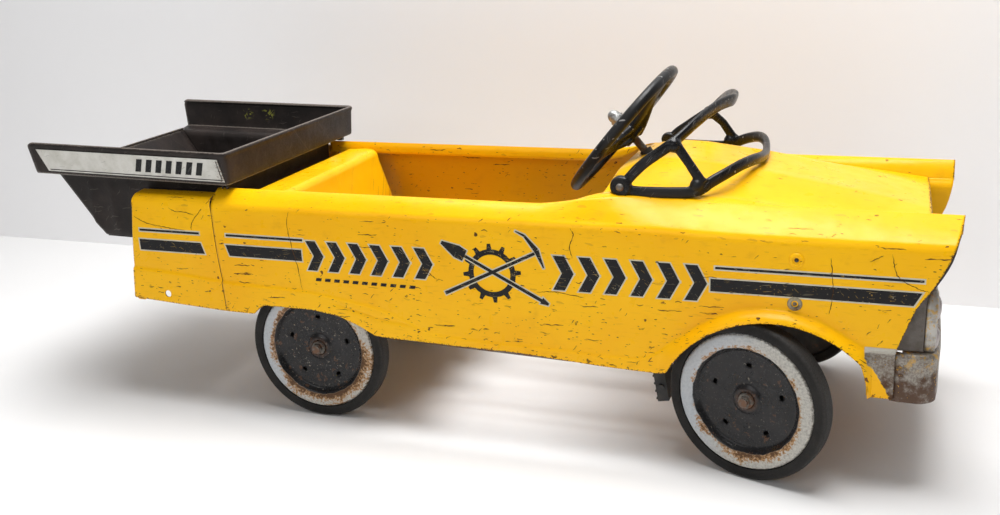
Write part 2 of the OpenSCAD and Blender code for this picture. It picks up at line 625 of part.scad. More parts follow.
module rear_wheel_place(s) translate([0, s * rear_wheel_y, wheel_r]) to_side(s) children();
module to_side(s) if (s > 0) children(); else rotate([0, 0, 180]) children();

// Rear axle with its two crank throws

crank_r = axle_r;
web_t = 6;
throw_w = 26;
module crank_web(y, z) translate([0, y, wheel_r]) rotate([90, 0, 0]) linear_extrude(web_t, center = true) {
    circle(r = crank_r + 2);
    translate([0, z]) circle(r = crank_r + 2);
    translate([-crank_r, min(0, z)]) square([2 * crank_r, crank_throw]);
}
// Drawn with the right throw down, then turned so that it points forward
module crank_axle() color(rust) translate([0, 0, wheel_r]) rotate([0, -90, 0]) translate([0, 0, -wheel_r]) {
    end = rear_wheel_y + stub_end;
    for (s = [-1, 1]) {
        z = s * crank_throw;
        along_y(crank_r, end - throw_y - throw_w / 2, 0, s * (end + throw_y + throw_w / 2) / 2, wheel_r);
        along_y(crank_r, throw_w + web_t, 0, s * throw_y, wheel_r + z);
        crank_web(s * (throw_y + throw_w / 2), z);
        crank_web(s * (throw_y - throw_w / 2), z);
        along_y(9, 6, 0, s * (rear_wheel_y - tyre_w / 2 - gap - 3), wheel_r);
    }
    along_y(crank_r, 2 * throw_y - throw_w, 0, 0, wheel_r);
}
module rear_axle_nuts() color(rust) for (s = [-1, 1]) rear_wheel_place(s) axle_nut();

// Push rods and pedals

rod_w = 5;
pedal_x = wheelbase - 150;
pedal_top_z = 268;
pedal_len = 184;
pedal_swing = asin(crank_throw / pedal_len);
rod_end = [pedal_x, pedal_top_z - pedal_len * cos(pedal_swing) - wheel_r];
module push_rod(s) color(rust) translate([-s * crank_throw, s * throw_y, wheel_r]) difference() {
    rotate([90, 0, 0]) linear_extrude(rod_w, center = true) union() {
        circle(r = crank_r + 4.5);
        translate(rod_end) circle(r = 8);
        rotate(atan2(rod_end[1], rod_end[0])) translate([0, -5]) square([norm(rod_end), 10]);
    }
    along_y(crank_r + run_gap, rod_w * 3, 0, 0, 0);
    along_y(3.2, rod_w * 3, rod_end[0], 0, rod_end[1]);
}
arm_t = 4;
pedal_arm_y = throw_y + rod_w / 2 + arm_t / 2 + 1.2;
pedal_rod_r = 4.5;
pad_len = 46;
module pedal_rod() color(rust) along_y(pedal_rod_r, 2 * pedal_arm_y + 14, pedal_x, 0, pedal_top_z);
module pedal_rod_brackets() color(black) for (s = [-1, 1]) difference() {
    union() {
        translate([pedal_x - 9, s * (rail_y + rail_w / 2 + 2) - 2, rail_z - 9])
            cube([18, 4, pedal_top_z - rail_z + 9]);
        along_y(9, 4, pedal_x, s * (rail_y + rail_w / 2 + 2), pedal_top_z);
    }
    along_y(pedal_rod_r, 20, pedal_x, s * (rail_y + rail_w / 2), pedal_top_z);
}
// Places a child that was drawn hanging straight down from the pedal rod
module on_pedal(s) translate([pedal_x, 0, pedal_top_z]) rotate([0, s * pedal_swing, 0]) children();
module pedal_arm(s) color(black) on_pedal(s) difference() {
    union() {
        along_y(8.5, 8, 0, s * pedal_arm_y, 0);
        translate([-6, s * pedal_arm_y - arm_t / 2, -pedal_len]) cube([12, arm_t, pedal_len]);
        along_y(7, arm_t, 0, s * pedal_arm_y, -pedal_len);
        along_y(4, pad_len + 6, 0, s * (pedal_arm_y + pad_len / 2 + 3), -pedal_len);
    }
    along_y(pedal_rod_r + run_gap, 20, 0, s * pedal_arm_y, 0);
}
module pedal_pad(s) color(black) on_pedal(s) difference() {
    translate([0, s * (pedal_arm_y + arm_t / 2 + 1 + pad_len / 2), -pedal_len]) rotate([90, 0, 0])
        linear_extrude(pad_len, center = true) union() {
            translate([-7, -19]) square([14, 38]);
            for (z = [-15, -5, 5, 15]) translate([-7, z]) circle(r = 1.6, $fn = 16);
        }
    along_y(4, 300, 0, 0, -pedal_len);
}

// Dump bed, drawn level with X from its hinge line and then pitched

hinge_x = -tail_x + 7;
hinge_z = 221;
module bed_frame() translate([hinge_x, 0, hinge_z]) rotate([0, bed_pitch, 0])
    translate([-hinge_x, 0, -hinge_z]) children();
bed_top = bed_rim_z + 3;
ledge_z = bed_top - band_h;
floor_z = bed_top - hopper_depth;
band_low_w = bed_half_w - 6;
hopper_front_x = bed_front_x + 26;
tail_top_x = bed_rear_x - 14;
tail_floor_x = bed_rear_x - 82;
bed_half_section = [
    [bed_half_w - 4, bed_top - 2], [bed_half_w - 1, bed_top], [bed_half_w, bed_top - 3],
    [band_low_w, ledge_z],
    [hopper_half_w + 3, ledge_z - 3], [hopper_half_w, ledge_z - 8], [hopper_half_w - 3, floor_z + 4],
    [hopper_half_w - 7, floor_z]
];
bed_silhouette = concat(
    [[-bed_front_x, ledge_z - 3], [-bed_front_x, bed_top + 5], [-bed_rear_x + 10, bed_top + 5]],
    arc2([-bed_rear_x + 9, bed_top - 7], 9, 90, 180, 4),
    [[-bed_rear_x + 6, ledge_z - 1], [-tail_top_x, ledge_z - 4], [-tail_floor_x, floor_z - 3],
     [-hopper_front_x, floor_z - 3], [-hopper_front_x, ledge_z - 3]]
);
module dump_bed() color(black) bed_frame() {
    intersection() {
        translate([-bed_rear_x - 5, 0, 0]) rotate([90, 0, 90]) strip(
            concat(bed_half_section, [for (p = reversed(bed_half_section)) [-p[0], p[1]]]), -bed_t, bed_rear_x
        );
        translate([0, 250, 0]) rotate([90, 0, 0]) linear_extrude(500) polygon(bed_silhouette);
    }
    // Front wall of the band, with its folded lip
    translate([-bed_front_x, 0, 0]) rotate([90, 0, -90]) linear_extrude(bed_t)
        polygon([
            [-bed_half_w, bed_top - 3], [bed_half_w, bed_top - 3], [band_low_w, ledge_z], [-band_low_w, ledge_z]
        ]);
    along_y(2.2, 2 * bed_half_w - 4, -bed_front_x - 1.2, 0, bed_top - 3);
    // Ledge and front wall of the hopper
    translate([-hopper_front_x, -hopper_half_w, ledge_z - 3 - bed_t])
        cube([hopper_front_x - bed_front_x, 2 * hopper_half_w, bed_t]);
    translate([-hopper_front_x, -hopper_half_w + 1, floor_z])
        cube([bed_t, 2 * hopper_half_w - 2, ledge_z - 3 - floor_z]);
    // Sloping tail of the hopper
    translate([0, hopper_half_w - 4, 0]) rotate([90, 0, 0])
        strip([[-tail_floor_x, floor_z], [-tail_top_x, ledge_z + 2], [-tail_top_x + 3, ledge_z + 4]],
            -bed_t, 2 * hopper_half_w - 8);
    // Pressed ribs down the hopper's sides
    for (s = [-1, 1]) for (x = [-306, -250, -194]) translate([x, s * hopper_half_w, 0])
        translate([0, -s * 2, floor_z + 6]) cylinder(r = 3, h = ledge_z - floor_z - 18, $fn = 20);
    // Hinge ears under the floor, and the legs that rest on the body
    for (s = [-1, 1]) {
        difference() {
            translate([hinge_x - 8, s * 96 - 1.5, hinge_z - 7]) cube([16, 3, floor_z - hinge_z + 7.5]);
            along_y(hinge_r + run_gap, 30, hinge_x, s * 96, hinge_z);
        }
        leg_z = rim_z + 0.5 + (-114 - hinge_x) * sin(bed_pitch);
        translate([-122, s * mix(rim_y, band_low_w, 0.3) - 4, leg_z]) cube([8, 8, ledge_z - 0.6 - leg_z]);
    }
}
module band_plates() color(white) bed_frame() for (s = [-1, 1])
    translate([0, s * (mix(band_low_w, bed_half_w, 0.5) + 0.05), (bed_top - 3 + ledge_z) / 2])
        rotate([90 - s * atan2(bed_half_w - band_low_w, band_h - 3), 0, 0])
            translate([0, 0, s > 0 ? -0.8 : 0]) linear_extrude(0.8) polygon([
                [-bed_rear_x + 14, 15], [-bed_front_x - 10, 15], [-bed_front_x - 4, -16],
                [-bed_rear_x + 28, -16]
            ]);
module hinge_rod() color(rust) along_y(hinge_r, 216, hinge_x, 0, hinge_z);
bracket_z = 184 + sheet_t;
module hinge_brackets() color(black) for (s = [-1, 1]) translate([0, s * 102, 0]) difference() {
    union() {
        translate([hinge_x, -2, bracket_z]) cube([10, 4, hinge_z - bracket_z]);
        along_y(8, 4, hinge_x, 0, hinge_z);
        translate([hinge_x, -11, bracket_z]) cube([10, 22, 2]);
    }
    along_y(hinge_r, 30, hinge_x, 0, hinge_z);
}

row() side_panel();  // side_panel_right
row() mirror([0, 1, 0]) side_panel();  // side_panel_left
row() hood();
row() rear_quarter();  // rear_quarter_right
row() mirror([0, 1, 0]) rear_quarter();  // rear_quarter_left
row() seat();
row() rear_panel();
row() grille();
row() headlamps();
row() bumper();
row() windshield_frame();
row() windshield_screws();
row() side_rivets();
row() frame_rails();
row() front_axle_beam();
row() kingpin_nut(-1);  // kingpin_nut_right
row() kingpin_nut(1);  // kingpin_nut_left
row() axle_hangers();
row() axle_bearings();
row() column_bracket();
row() column_grommet();
row() pedal_rod();
row() pedal_rod_brackets();
row() hinge_brackets();
row() dump_bed();
row() band_plates();
row() hinge_rod();
row() steering_column();
row() steering_wheel();
row() acorn_nut();
row() tie_rod();
row() spindle(-1);  // spindle_right
row() spindle(1);  // spindle_left
row() crank_axle();
row() rear_axle_nuts();
row() front_wheel_place(-1) tyre();  // tyre_front_right
row() front_wheel_place(-1) disc();  // disc_front_right
row() front_wheel_place(-1) inner_disc();  // inner_disc_front_right
row() front_wheel_place(-1) hub(axle_r + run_gap);  // hub_front_right
row() front_wheel_place(-1) axle_nut();  // nut_front_right
row() front_wheel_place(1) tyre();  // tyre_front_left
row() front_wheel_place(1) disc();  // disc_front_left
row() front_wheel_place(1) inner_disc();  // inner_disc_front_left
row() front_wheel_place(1) hub(axle_r + run_gap);  // hub_front_left
row() front_wheel_place(1) axle_nut();  // nut_front_left
row() rear_wheel_place(-1) tyre();  // tyre_rear_right
row() rear_wheel_place(-1) disc();  // disc_rear_right
row() rear_wheel_place(-1) inner_disc();  // inner_disc_rear_right
row() rear_wheel_place(-1) hub(axle_r);  // hub_rear_right
row() rear_wheel_place(1) tyre();  // tyre_rear_left
row() rear_wheel_place(1) disc();  // disc_rear_left
row() rear_wheel_place(1) inner_disc();  // inner_disc_rear_left
row() rear_wheel_place(1) hub(axle_r + run_gap);  // hub_rear_left
row() push_rod(-1);  // push_rod_right
row() push_rod(1);  // push_rod_left
row() pedal_arm(-1);  // pedal_arm_right
row() pedal_arm(1);  // pedal_arm_left
row() pedal_pad(-1);  // pedal_pad_right
row() pedal_pad(1);  // pedal_pad_left
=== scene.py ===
"""A child's pressed-steel pedal car with a tipping dump bed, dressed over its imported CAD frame.

Lengths in the drawing functions are millimetres with X measured from the rear axle, as in
the part's source; place() turns them into metres in the frame that everything shares.
"""

import random
from contextlib import contextmanager
from math import acos, copysign, cos, degrees, dist, exp, hypot, pi, radians, sin, sqrt

import bmesh
import bpy
import numpy as np
from mathutils import Matrix, Vector


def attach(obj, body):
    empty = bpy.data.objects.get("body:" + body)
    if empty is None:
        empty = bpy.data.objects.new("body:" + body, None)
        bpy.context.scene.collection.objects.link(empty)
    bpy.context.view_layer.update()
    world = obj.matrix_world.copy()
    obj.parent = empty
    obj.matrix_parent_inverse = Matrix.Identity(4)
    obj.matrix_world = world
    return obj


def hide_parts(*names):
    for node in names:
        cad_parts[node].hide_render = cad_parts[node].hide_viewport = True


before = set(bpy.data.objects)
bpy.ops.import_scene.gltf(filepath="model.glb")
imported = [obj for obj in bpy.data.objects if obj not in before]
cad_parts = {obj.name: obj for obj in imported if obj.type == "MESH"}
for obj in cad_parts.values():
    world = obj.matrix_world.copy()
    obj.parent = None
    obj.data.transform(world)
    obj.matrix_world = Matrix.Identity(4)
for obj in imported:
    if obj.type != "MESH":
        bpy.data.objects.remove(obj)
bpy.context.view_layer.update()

# Sizes shared with the part's source

WHEEL_R = 98.4
TREAD_R = 95.0
DISC_R = 84.4
DISH_R = 66.0
TYRE_W = 24.0
WHEELBASE = 588.0
KINGPIN_Y = 149.0
REAR_WHEEL_Y = 155.0
STUB_REACH = 33.0
STEER_REST = radians(18)
COLUMN_SLOPE = radians(56.5)
STEER_ARM = 42.0
WHEEL_RIM_R = 102.0
WHEEL_AT = (388.1, 0, 379.1)
WHEEL_TILT = radians(50.9)
SIDE_Y = 184.0
RIM_Y = 157.0
RIDGE_Y = 140.0
SHOULDER_Z = 302.0
RIM_Z = 316.5
RIDGE_Z = 321.5
TIP_X = 797.0
NOSE_X = 767.0
TAIL_X = -275.0
SEAM_X = -130.0
COWL_X = 398.0
RISE_X = 330.0
ARCH_X, ARCH_Z, ARCH_R = 603.0, 66.0, 134.0
ARCH_END = ARCH_R - 14.5
SHEET_T = 1.5
BED_PITCH = radians(1)
HINGE = (-268.0, 221.0)
BED_TOP = 372.5
BED_REAR = -421.5
PLATE_TOP = 369.5
LEDGE_Z = 327.5
FLOOR_Z = 232.5
ROW_X = -(TIP_X + BED_REAR + (PLATE_TOP - 4 - HINGE[1]) * sin(BED_PITCH)) / 2
MM = 0.001


def place(x, y, z):
    return ((x + ROW_X) * MM, y * MM, z * MM)


# Number helpers

def mix(a, b, t):
    return a + (b - a) * t


def smooth(t):
    t = min(1.0, max(0.0, t))
    return t * t * (3 - 2 * t)


def ease(x, x0, x1, a, b):
    return mix(a, b, smooth((x - x0) / (x1 - x0)))


def lookup(x, points):
    return float(np.interp(x, [p[0] for p in points], [p[1] for p in points]))


def soft_lookup(x, points, radius):
    """lookup() with its corners rounded over the radius."""
    return sum(lookup(x + radius * k / 3, points) for k in range(-3, 4)) / 7


def arc(cx, cy, r, a0, a1, n):
    angles = [radians(mix(a0, a1, k / n)) for k in range(n + 1)]
    return [(cx + r * cos(a), cy + r * sin(a)) for a in angles]


def spline(points, n):
    """A smooth curve through points, with n steps between each two."""
    p = [np.array(q, float) for q in points]
    out = []
    for i in range(len(p) - 1):
        a, b, c, d = p[max(0, i - 1)], p[i], p[i + 1], p[min(len(p) - 1, i + 2)]
        for k in range(n):
            t = k / n
            out.append(b + 0.5 * ((c - a) * t + (2 * a - 5 * b + 4 * c - d) * t * t
                                  + (3 * b - a - 3 * c + d) * t ** 3))
    return out + [p[-1]]


# Camera, floor, backdrop and light

WALL_Y = 0.485


def make_stage():
    scene = bpy.context.scene
    scene.view_settings.view_transform = "Standard"
    camera = linked("camera", bpy.data.cameras.new("camera"))
    camera.data.sensor_width = 36
    camera.data.lens = 39.11
    camera.data.clip_start = 0.05
    camera.data.clip_end = 60
    right = Vector((0.9413, 0.3353, -0.0404)).normalized()
    forward = Vector((-0.3316, 0.895, -0.2985))
    forward = (forward - right * forward.dot(right)).normalized()
    up = right.cross(forward)
    turn = Matrix((right, up, -forward)).transposed().to_4x4()
    camera.matrix_world = Matrix.Translation(place(715.3, -1367.2, 647.4)) @ turn
    scene.camera = camera

    floor = grid_piece("floor", [[(x, y, 0) for y in (-6, WALL_Y)] for x in (-9, 9)])
    wall = grid_piece("backdrop", [[(x, WALL_Y, z) for x in (-9, 9)] for z in (0, 6)], (0, -1, 0))
    floor.data.materials.append(stage_material("floor", (0.90, 0.895, 0.885), (0.80, 0.80, 0.80)))
    wall.data.materials.append(stage_material("backdrop", (0.86, 0.845, 0.845), (0.885, 0.885, 0.90), True))

    lamp("key", (0.1, 0.05, 2.3), (0.05, 0.0, 0.2), (2.0, 0.9), 80)
    lamp("fill", (-0.6, -2.6, 1.5), (0, 0, 0.2), (1.8, 1.2), 13)
    world = bpy.data.worlds.new("studio")
    world.use_nodes = True
    nodes, links = world.node_tree.nodes, world.node_tree.links
    nodes["Background"].inputs["Color"].default_value = (1, 0.99, 0.975, 1)
    path, strength = nodes.new("ShaderNodeLightPath"), nodes.new("ShaderNodeMapRange")
    links.new(path.outputs["Is Camera Ray"], strength.inputs["Value"])
    strength.inputs["To Min"].default_value = 0.24
    strength.inputs["To Max"].default_value = 0.86
    links.new(strength.outputs[0], nodes["Background"].inputs["Strength"])
    scene.world = world


def lamp(name, at, to, size, power):
    data = bpy.data.lights.new(name, "AREA")
    data.shape = "RECTANGLE"
    data.size, data.size_y = size
    data.energy = power
    light = linked(name, data)
    light.location = at
    light.rotation_euler = (Vector(to) - Vector(at)).to_track_quat("-Z", "Y").to_euler()


def stage_material(name, colour, seen, open_back=False):
    """A pale matte surface: its bounced light has one colour, and the camera and reflections see another.

    With open_back, a camera behind the surface sees through it."""
    g = Graph(name)
    path = g.node("LightPath")
    direct = g.most(path.outputs["Is Camera Ray"], path.outputs["Is Glossy Ray"], path.outputs["Is Transmission Ray"])
    made = g.finish(g.blend(direct, colour, seen), 0.9, specular=0.1)
    if open_back:
        behind = g.times(g.node("NewGeometry").outputs["Backfacing"], path.outputs["Is Camera Ray"])
        through = g.node("MixShader", {0: behind, 1: g.shader.outputs[0],
                                       2: g.node("BsdfTransparent").outputs[0]})
        out = next(n for n in g.tree.nodes if n.type == "OUTPUT_MATERIAL")
        g.put(out.inputs["Surface"], through.outputs[0])
    return made


# Mesh helpers

def mesh_object(name, verts, faces, sharp=34):
    """A new mesh object, shaded smooth but for edges sharper than the angle."""
    mesh = bpy.data.meshes.new(name)
    mesh.from_pydata([tuple(v) for v in verts], [], faces)
    mesh.update()
    bm = bmesh.new()
    bm.from_mesh(mesh)
    bmesh.ops.remove_doubles(bm, verts=bm.verts, dist=1e-6)
    for face in bm.faces:
        face.smooth = True
    for edge in bm.edges:
        if len(edge.link_faces) == 2 and edge.calc_face_angle(0) > radians(sharp):
            edge.smooth = False
    bm.to_mesh(mesh)
    bm.free()
    return linked(name, mesh)


def linked(name, data):
    """A new object of the data, in the scene."""
    piece = bpy.data.objects.new(name, data)
    bpy.context.scene.collection.objects.link(piece)
    return piece


@contextmanager
def edited(piece):
    """The piece's mesh as a bmesh, written back at the end."""
    bm = bmesh.new()
    bm.from_mesh(piece.data)
    yield bm
    bm.to_mesh(piece.data)
    bm.free()


def outward(piece):
    """Turns a closed shape's faces outward."""
    with edited(piece) as bm:
        bmesh.ops.recalc_face_normals(bm, faces=bm.faces)
    return piece


def turn_faces(piece, direction):
    """Turns each face towards the direction that the function gives for its middle."""
    with edited(piece) as bm:
        for face in bm.faces:
            if face.normal.dot(direction(face.calc_center_median())) < 0:
                face.normal_flip()
    return piece


def facing(piece, direction):
    """Turns the piece's faces so that most of them look along the direction."""
    total = sum((p.normal * p.area for p in piece.data.polygons), Vector())
    if total.dot(Vector(direction)) < 0:
        piece.data.flip_normals()
    return piece


def grid_quads(n, m, wrap_i=False, wrap_j=False, start=0):
    """Quads over an n by m grid of vertices, closed along i or j if asked."""
    quads = []
    for i in range(n if wrap_i else n - 1):
        for j in range(m if wrap_j else m - 1):
            a, b = start + i * m, start + (i + 1) % n * m
            k = (j + 1) % m
            quads.append((a + j, b + j, b + k, a + k))
    return quads


def grid_piece(name, grid, look=None, wrap_i=False, wrap_j=False, sharp=34, skip=()):
    """A sheet over rows of points, without the cells in skip, facing the way that it is told to look."""
    n, m = len(grid), len(grid[0])
    quads = grid_quads(n, m, wrap_i, wrap_j)
    across = m if wrap_j else m - 1
    quads = [q for k, q in enumerate(quads) if divmod(k, across) not in skip]
    piece = mesh_object(name, [p for row in grid for p in row], quads, sharp)
    return facing(piece, look) if look else piece


def dress(piece, body, slot, *finishes, instead_of=None):
    """Gives the piece its finishes (materials or keys of MATERIAL) and its body, and hides the node that it stands
    for. The slot is not used.
    """
    if instead_of:
        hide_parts(instead_of)
    for finish in finishes:
        piece.data.materials.append(MATERIAL.get(finish, finish))
    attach(piece, body)
    return piece


def hand(side):
    """The side's word in the names of pieces."""
    return "right" if side < 0 else "left"


def dress_sheet(piece, node):
    """A yellow sheet of the body: enamel outside, a darker copy with painted shade inside, rust along its cut edges.
    """
    thicken(piece, SHEET_T * MM, 1, 2)
    return dress(piece, "body", "yellow_enamel", "yellow", "inside", "rim", instead_of=node)


def thicken(piece, thickness, inner=0, rim=0):
    """Gives a sheet its thickness behind the drawn face; inner and rim are steps on to its later finishes."""
    m = piece.modifiers.new("thickness", "SOLIDIFY")
    m.thickness = thickness
    m.offset = -1
    m.use_quality_normals = True
    m.material_offset = inner
    m.material_offset_rim = rim
    return piece


def soften(piece, width, segments=2, angle=40):
    m = piece.modifiers.new("soft_edges", "BEVEL")
    m.width = width
    m.segments = segments
    m.limit_method = "ANGLE"
    m.angle_limit = radians(angle)
    return piece


def set_wear(piece, values):
    """Stores one number for each vertex, 1 at a worn edge and 0 away from it."""
    attribute = piece.data.attributes.new("wear", "FLOAT", "POINT")
    attribute.data.foreach_set("value", np.array(values, np.float32))


def revolve(name, profile, steps, skip=()):
    """Turns (radius, y) points about the Y axis."""
    grid = [[(r * cos(a), y, r * sin(a)) for r, y in profile]
            for a in (2 * pi * k / steps for k in range(steps))]
    return grid_piece(name, grid, wrap_i=True, skip=skip)


def along_path(width):
    """A width as a function of t, which runs from 0 to 1: one number for all, or a list to run through evenly."""
    if callable(width):
        return width
    if isinstance(width, (int, float)):
        return lambda t: width
    return lambda t: np.interp(t * (len(width) - 1), range(len(width)), width)


def sweep(path, widths, heights, up, sides=14, power=2.0):
    """A rounded section carried along a path: (verts, faces). A power above 2 makes it squarer."""
    widths, heights = along_path(widths), along_path(heights)
    path = [np.array(p, float) for p in path]
    n = len(path)
    verts, faces = [], []
    for i, p in enumerate(path):
        t = path[min(n - 1, i + 1)] - path[max(0, i - 1)]
        t /= np.linalg.norm(t)
        s = np.cross(t, np.array(up, float))
        s /= np.linalg.norm(s)
        u = np.cross(s, t)
        for k in range(sides):
            a = 2 * pi * k / sides
            c, d = cos(a), sin(a)
            c = copysign(abs(c) ** (2 / power), c)
            d = copysign(abs(d) ** (2 / power), d)
            verts.append(p + s * c * widths(i / (n - 1)) / 2 + u * d * heights(i / (n - 1)) / 2)
    for i in range(n - 1):
        for k in range(sides):
            a, b = i * sides + k, i * sides + (k + 1) % sides
            faces.append((a, a + sides, b + sides, b))
    return verts, faces + [tuple(range(sides)), tuple(reversed(range((n - 1) * sides, n * sides)))]


def fuse(name, parts, voxel, smoothing, transform=None):
    """Joins closed shapes into one skin and rounds the joints."""
    verts, faces = [], []
    for part_verts, part_faces in parts:
        faces += [tuple(i + len(verts) for i in f) for f in part_faces]
        verts += [tuple(v) for v in part_verts]
    mesh = bpy.data.meshes.new(name)
    mesh.from_pydata([tuple(c * MM for c in v) for v in verts], [], faces)
    piece = outward(linked(name, mesh))
    if transform is not None:
        mesh.transform(transform)
    remesh = piece.modifiers.new("remesh", "REMESH")
    remesh.mode = "VOXEL"
    remesh.voxel_size = voxel * MM
    remesh.use_smooth_shade = True
    blur = piece.modifiers.new("smooth", "SMOOTH")
    blur.factor = 0.5
    blur.iterations = smoothing
    bpy.context.view_layer.update()
    evaluated = piece.evaluated_get(bpy.context.evaluated_depsgraph_get())
    piece.data = bpy.data.meshes.new_from_object(evaluated)
    piece.modifiers.clear()
    piece.data.name = name
    return piece


# Materials

class Graph:
    """Builds one material's node tree from short calls. A value is a socket or a constant."""

    def __init__(self, name):
        self.material = bpy.data.materials.new(name)
        self.material.use_nodes = True
        self.tree = self.material.node_tree
        self.tree.nodes.clear()
        self.shader = self.node("BsdfPrincipled")
        out = self.node("OutputMaterial")
        self.tree.links.new(self.shader.outputs[0], out.inputs["Surface"])
        self.places = {}

    def node(self, kind, inputs=None, **settings):
        made = self.tree.nodes.new("ShaderNode" + kind)
        for key, value in settings.items():
            setattr(made, key, value)
        for key, value in (inputs or {}).items():
            self.put(made.inputs[key], value)
        return made

    def put(self, socket, value):
        if isinstance(value, bpy.types.NodeSocket):
            self.tree.links.new(value, socket)
        elif socket.type == "RGBA" and len(value) == 3:
            socket.default_value = (*value, 1)
        else:
            socket.default_value = value

    def math(self, operation, a, b=0.0, c=0.0):
        return self.node("Math", {0: a, 1: b, 2: c}, operation=operation).outputs[0]

    def times(self, a, b):
        return self.math("MULTIPLY", a, b)

    def plus(self, a, b):
        return self.math("ADD", a, b)

    def minus(self, a, b):
        return self.math("SUBTRACT", a, b)

    def mad(self, a, b, c):
        """a times b plus c."""
        return self.math("MULTIPLY_ADD", a, b, c)

    def over(self, a, b):
        return self.math("GREATER_THAN", a, b)

    def size(self, a):
        return self.math("ABSOLUTE", a)

    def radius(self, x, z):
        return self.math("SQRT", self.plus(self.times(x, x), self.times(z, z)))

    def most(self, *values):
        top = values[0]
        for value in values[1:]:
            top = self.math("MAXIMUM", top, value)
        return top

    def blend(self, t, a, b):
        return self.node("Mix", {0: t, 6: a, 7: b}, data_type="RGBA").outputs[2]

    def ramp(self, value, step, a, b):
        """Colour a changing to b over the step, which is the rest of what fade() takes."""
        return self.blend(self.fade(value, *step), a, b)

    def lay(self, share, mask, under, colour):
        """The colour over another, as strong as share times the mask."""
        return self.blend(self.times(mask, share), under, colour)

    def fade(self, value, lo, hi, a=0.0, b=1.0):
        """a below lo, b above hi and a soft step between; lo may be the higher."""
        return self.node("MapRange", {0: value, 1: lo, 2: hi, 3: a, 4: b},
                         interpolation_type="SMOOTHSTEP").outputs[0]

    def grain(self, fine, a, b):
        """A roughness from a to b with a fine noise."""
        return self.fade(fine, 0.3, 0.8, a, b)

    def between(self, value, lo, hi, soft):
        return self.times(self.fade(value, lo - soft, lo + soft), self.fade(value, hi + soft, hi - soft))

    def vector(self, x, y, z=0.0):
        return self.node("CombineXYZ", {"X": x, "Y": y, "Z": z}).outputs[0]

    def noise(self, vector, scale, detail=2.0, rough=0.5, distort=0.0, size="3D"):
        inputs = {"Vector": vector, "Scale": scale, "Detail": detail, "Roughness": rough, "Distortion": distort}
        return self.node("TexNoise", inputs, noise_dimensions=size).outputs[0]

    def cells(self, vector, scale=1.0, feature="F1", size="3D"):
        return self.node("TexVoronoi", {"Vector": vector, "Scale": scale},
                         feature=feature, voronoi_dimensions=size)

    def split(self, vector):
        return tuple(self.node("SeparateXYZ", {0: vector}).outputs)

    def point(self, shift=0.0):
        """The surface point in millimetres, with X moved on by shift."""
        if shift not in self.places:
            coords = self.node("TexCoord").outputs["Object"]
            made = self.node("VectorMath", {0: coords, 1: (1000, 1000, 1000), 2: (shift, 0, 0)},
                             operation="MULTIPLY_ADD")
            self.places[shift] = made.outputs[0]
        return self.places[shift]

    def named(self, name):
        return self.node("Attribute", attribute_name=name).outputs["Fac"]

    def bump(self, height, distance):
        return self.node("Bump", {"Height": height, "Distance": distance, "Strength": 1.0}).outputs[0]

    def strokes(self, u, v, length, height, angle, seed, share, radius=0.34, squiggle=1.0):
        """Short strokes scattered over (u, v) millimetres: 1 on a stroke. share of the cells hold one."""
        c, s = cos(radians(angle)), sin(radians(angle))
        along = self.mad(u, c / length, self.mad(v, s / length, seed))
        bend = self.noise(self.vector(u, v), 0.11, 1.0, size="2D")
        across = self.mad(u, -s / height, self.mad(v, c / height, seed * 1.7))
        across = self.mad(bend, squiggle * 5 / height, across)
        cell = self.cells(self.vector(along, across), size="2D")
        tone = self.node("SeparateColor", {0: cell.outputs["Color"]})
        size = self.mad(tone.outputs[1], radius * 0.7, radius * 0.3)
        inside = self.math("LESS_THAN", cell.outputs["Distance"], size)
        return self.times(inside, self.math("LESS_THAN", tone.outputs[0], share))

    def finish(self, colour, rough, metal=0.0, normal=None, specular=0.5, coat=0.0):
        inputs = {"Base Color": colour, "Roughness": rough, "Metallic": metal, "Specular IOR Level": specular}
        if normal is not None:
            inputs["Normal"] = normal
        if coat:
            inputs |= {"Coat Weight": coat, "Coat Roughness": 0.12}
        for key, value in inputs.items():
            self.put(self.shader.inputs[key], value)
        return self.material


YELLOW = (0.93, 0.50, 0.003)
ORANGE = (0.90, 0.445, 0.002)
BROWN = (0.028, 0.013, 0.007)
RUST = (0.17, 0.055, 0.016)


def enamel_wear(g, worn, far=1.0):
    """Car coordinates, (u, v) along the sheet, and a mask of dark strokes, chips and worn edges over its paint."""
    x, y, z = g.split(g.point(-ROW_X))
    side = g.math("SIGN", y)
    depth = g.size(y)
    u = g.mad(side, 311.0, g.mad(depth, 0.12, x))
    v = g.minus(z, depth)
    patch = g.noise(g.vector(u, v, 3.0), 0.017, 2.0)
    low = g.fade(z, 265, 150, 0.35, 1.25)
    amount = g.times(g.times(low, g.fade(patch, 0.3, 0.75, 0.35, 1.7)), g.mad(worn, 2.2, 1.0))
    fine = g.strokes(u, v, 5, 1.7, -3, 3.1, g.times(amount, 0.035 * far), 0.36, 0.5)
    dashes = g.strokes(u, v, 15, 2.3, -2, 11.3, g.times(amount, 0.042 * far), 0.33)
    long = g.strokes(u, v, 48, 2.6, 1.5, 23.9, g.times(amount, 0.02 * far), 0.36, 0.7)
    slanted = g.strokes(u, v, 13, 1.7, 52, 37.7, g.times(amount, 0.014 * far), 0.36)
    chips = g.strokes(u, v, 7, 4.5, 0, 51.1, g.times(amount, 0.012 * far), 0.4, 1.6)
    rough_edge = g.noise(g.vector(u, v, 9.0), 0.45, 3.0, 0.65)
    edge = g.over(g.mad(worn, 0.62, rough_edge), 1.02)
    return (x, y, z), (u, v), g.most(fine, dashes, long, slanted, chips, edge)


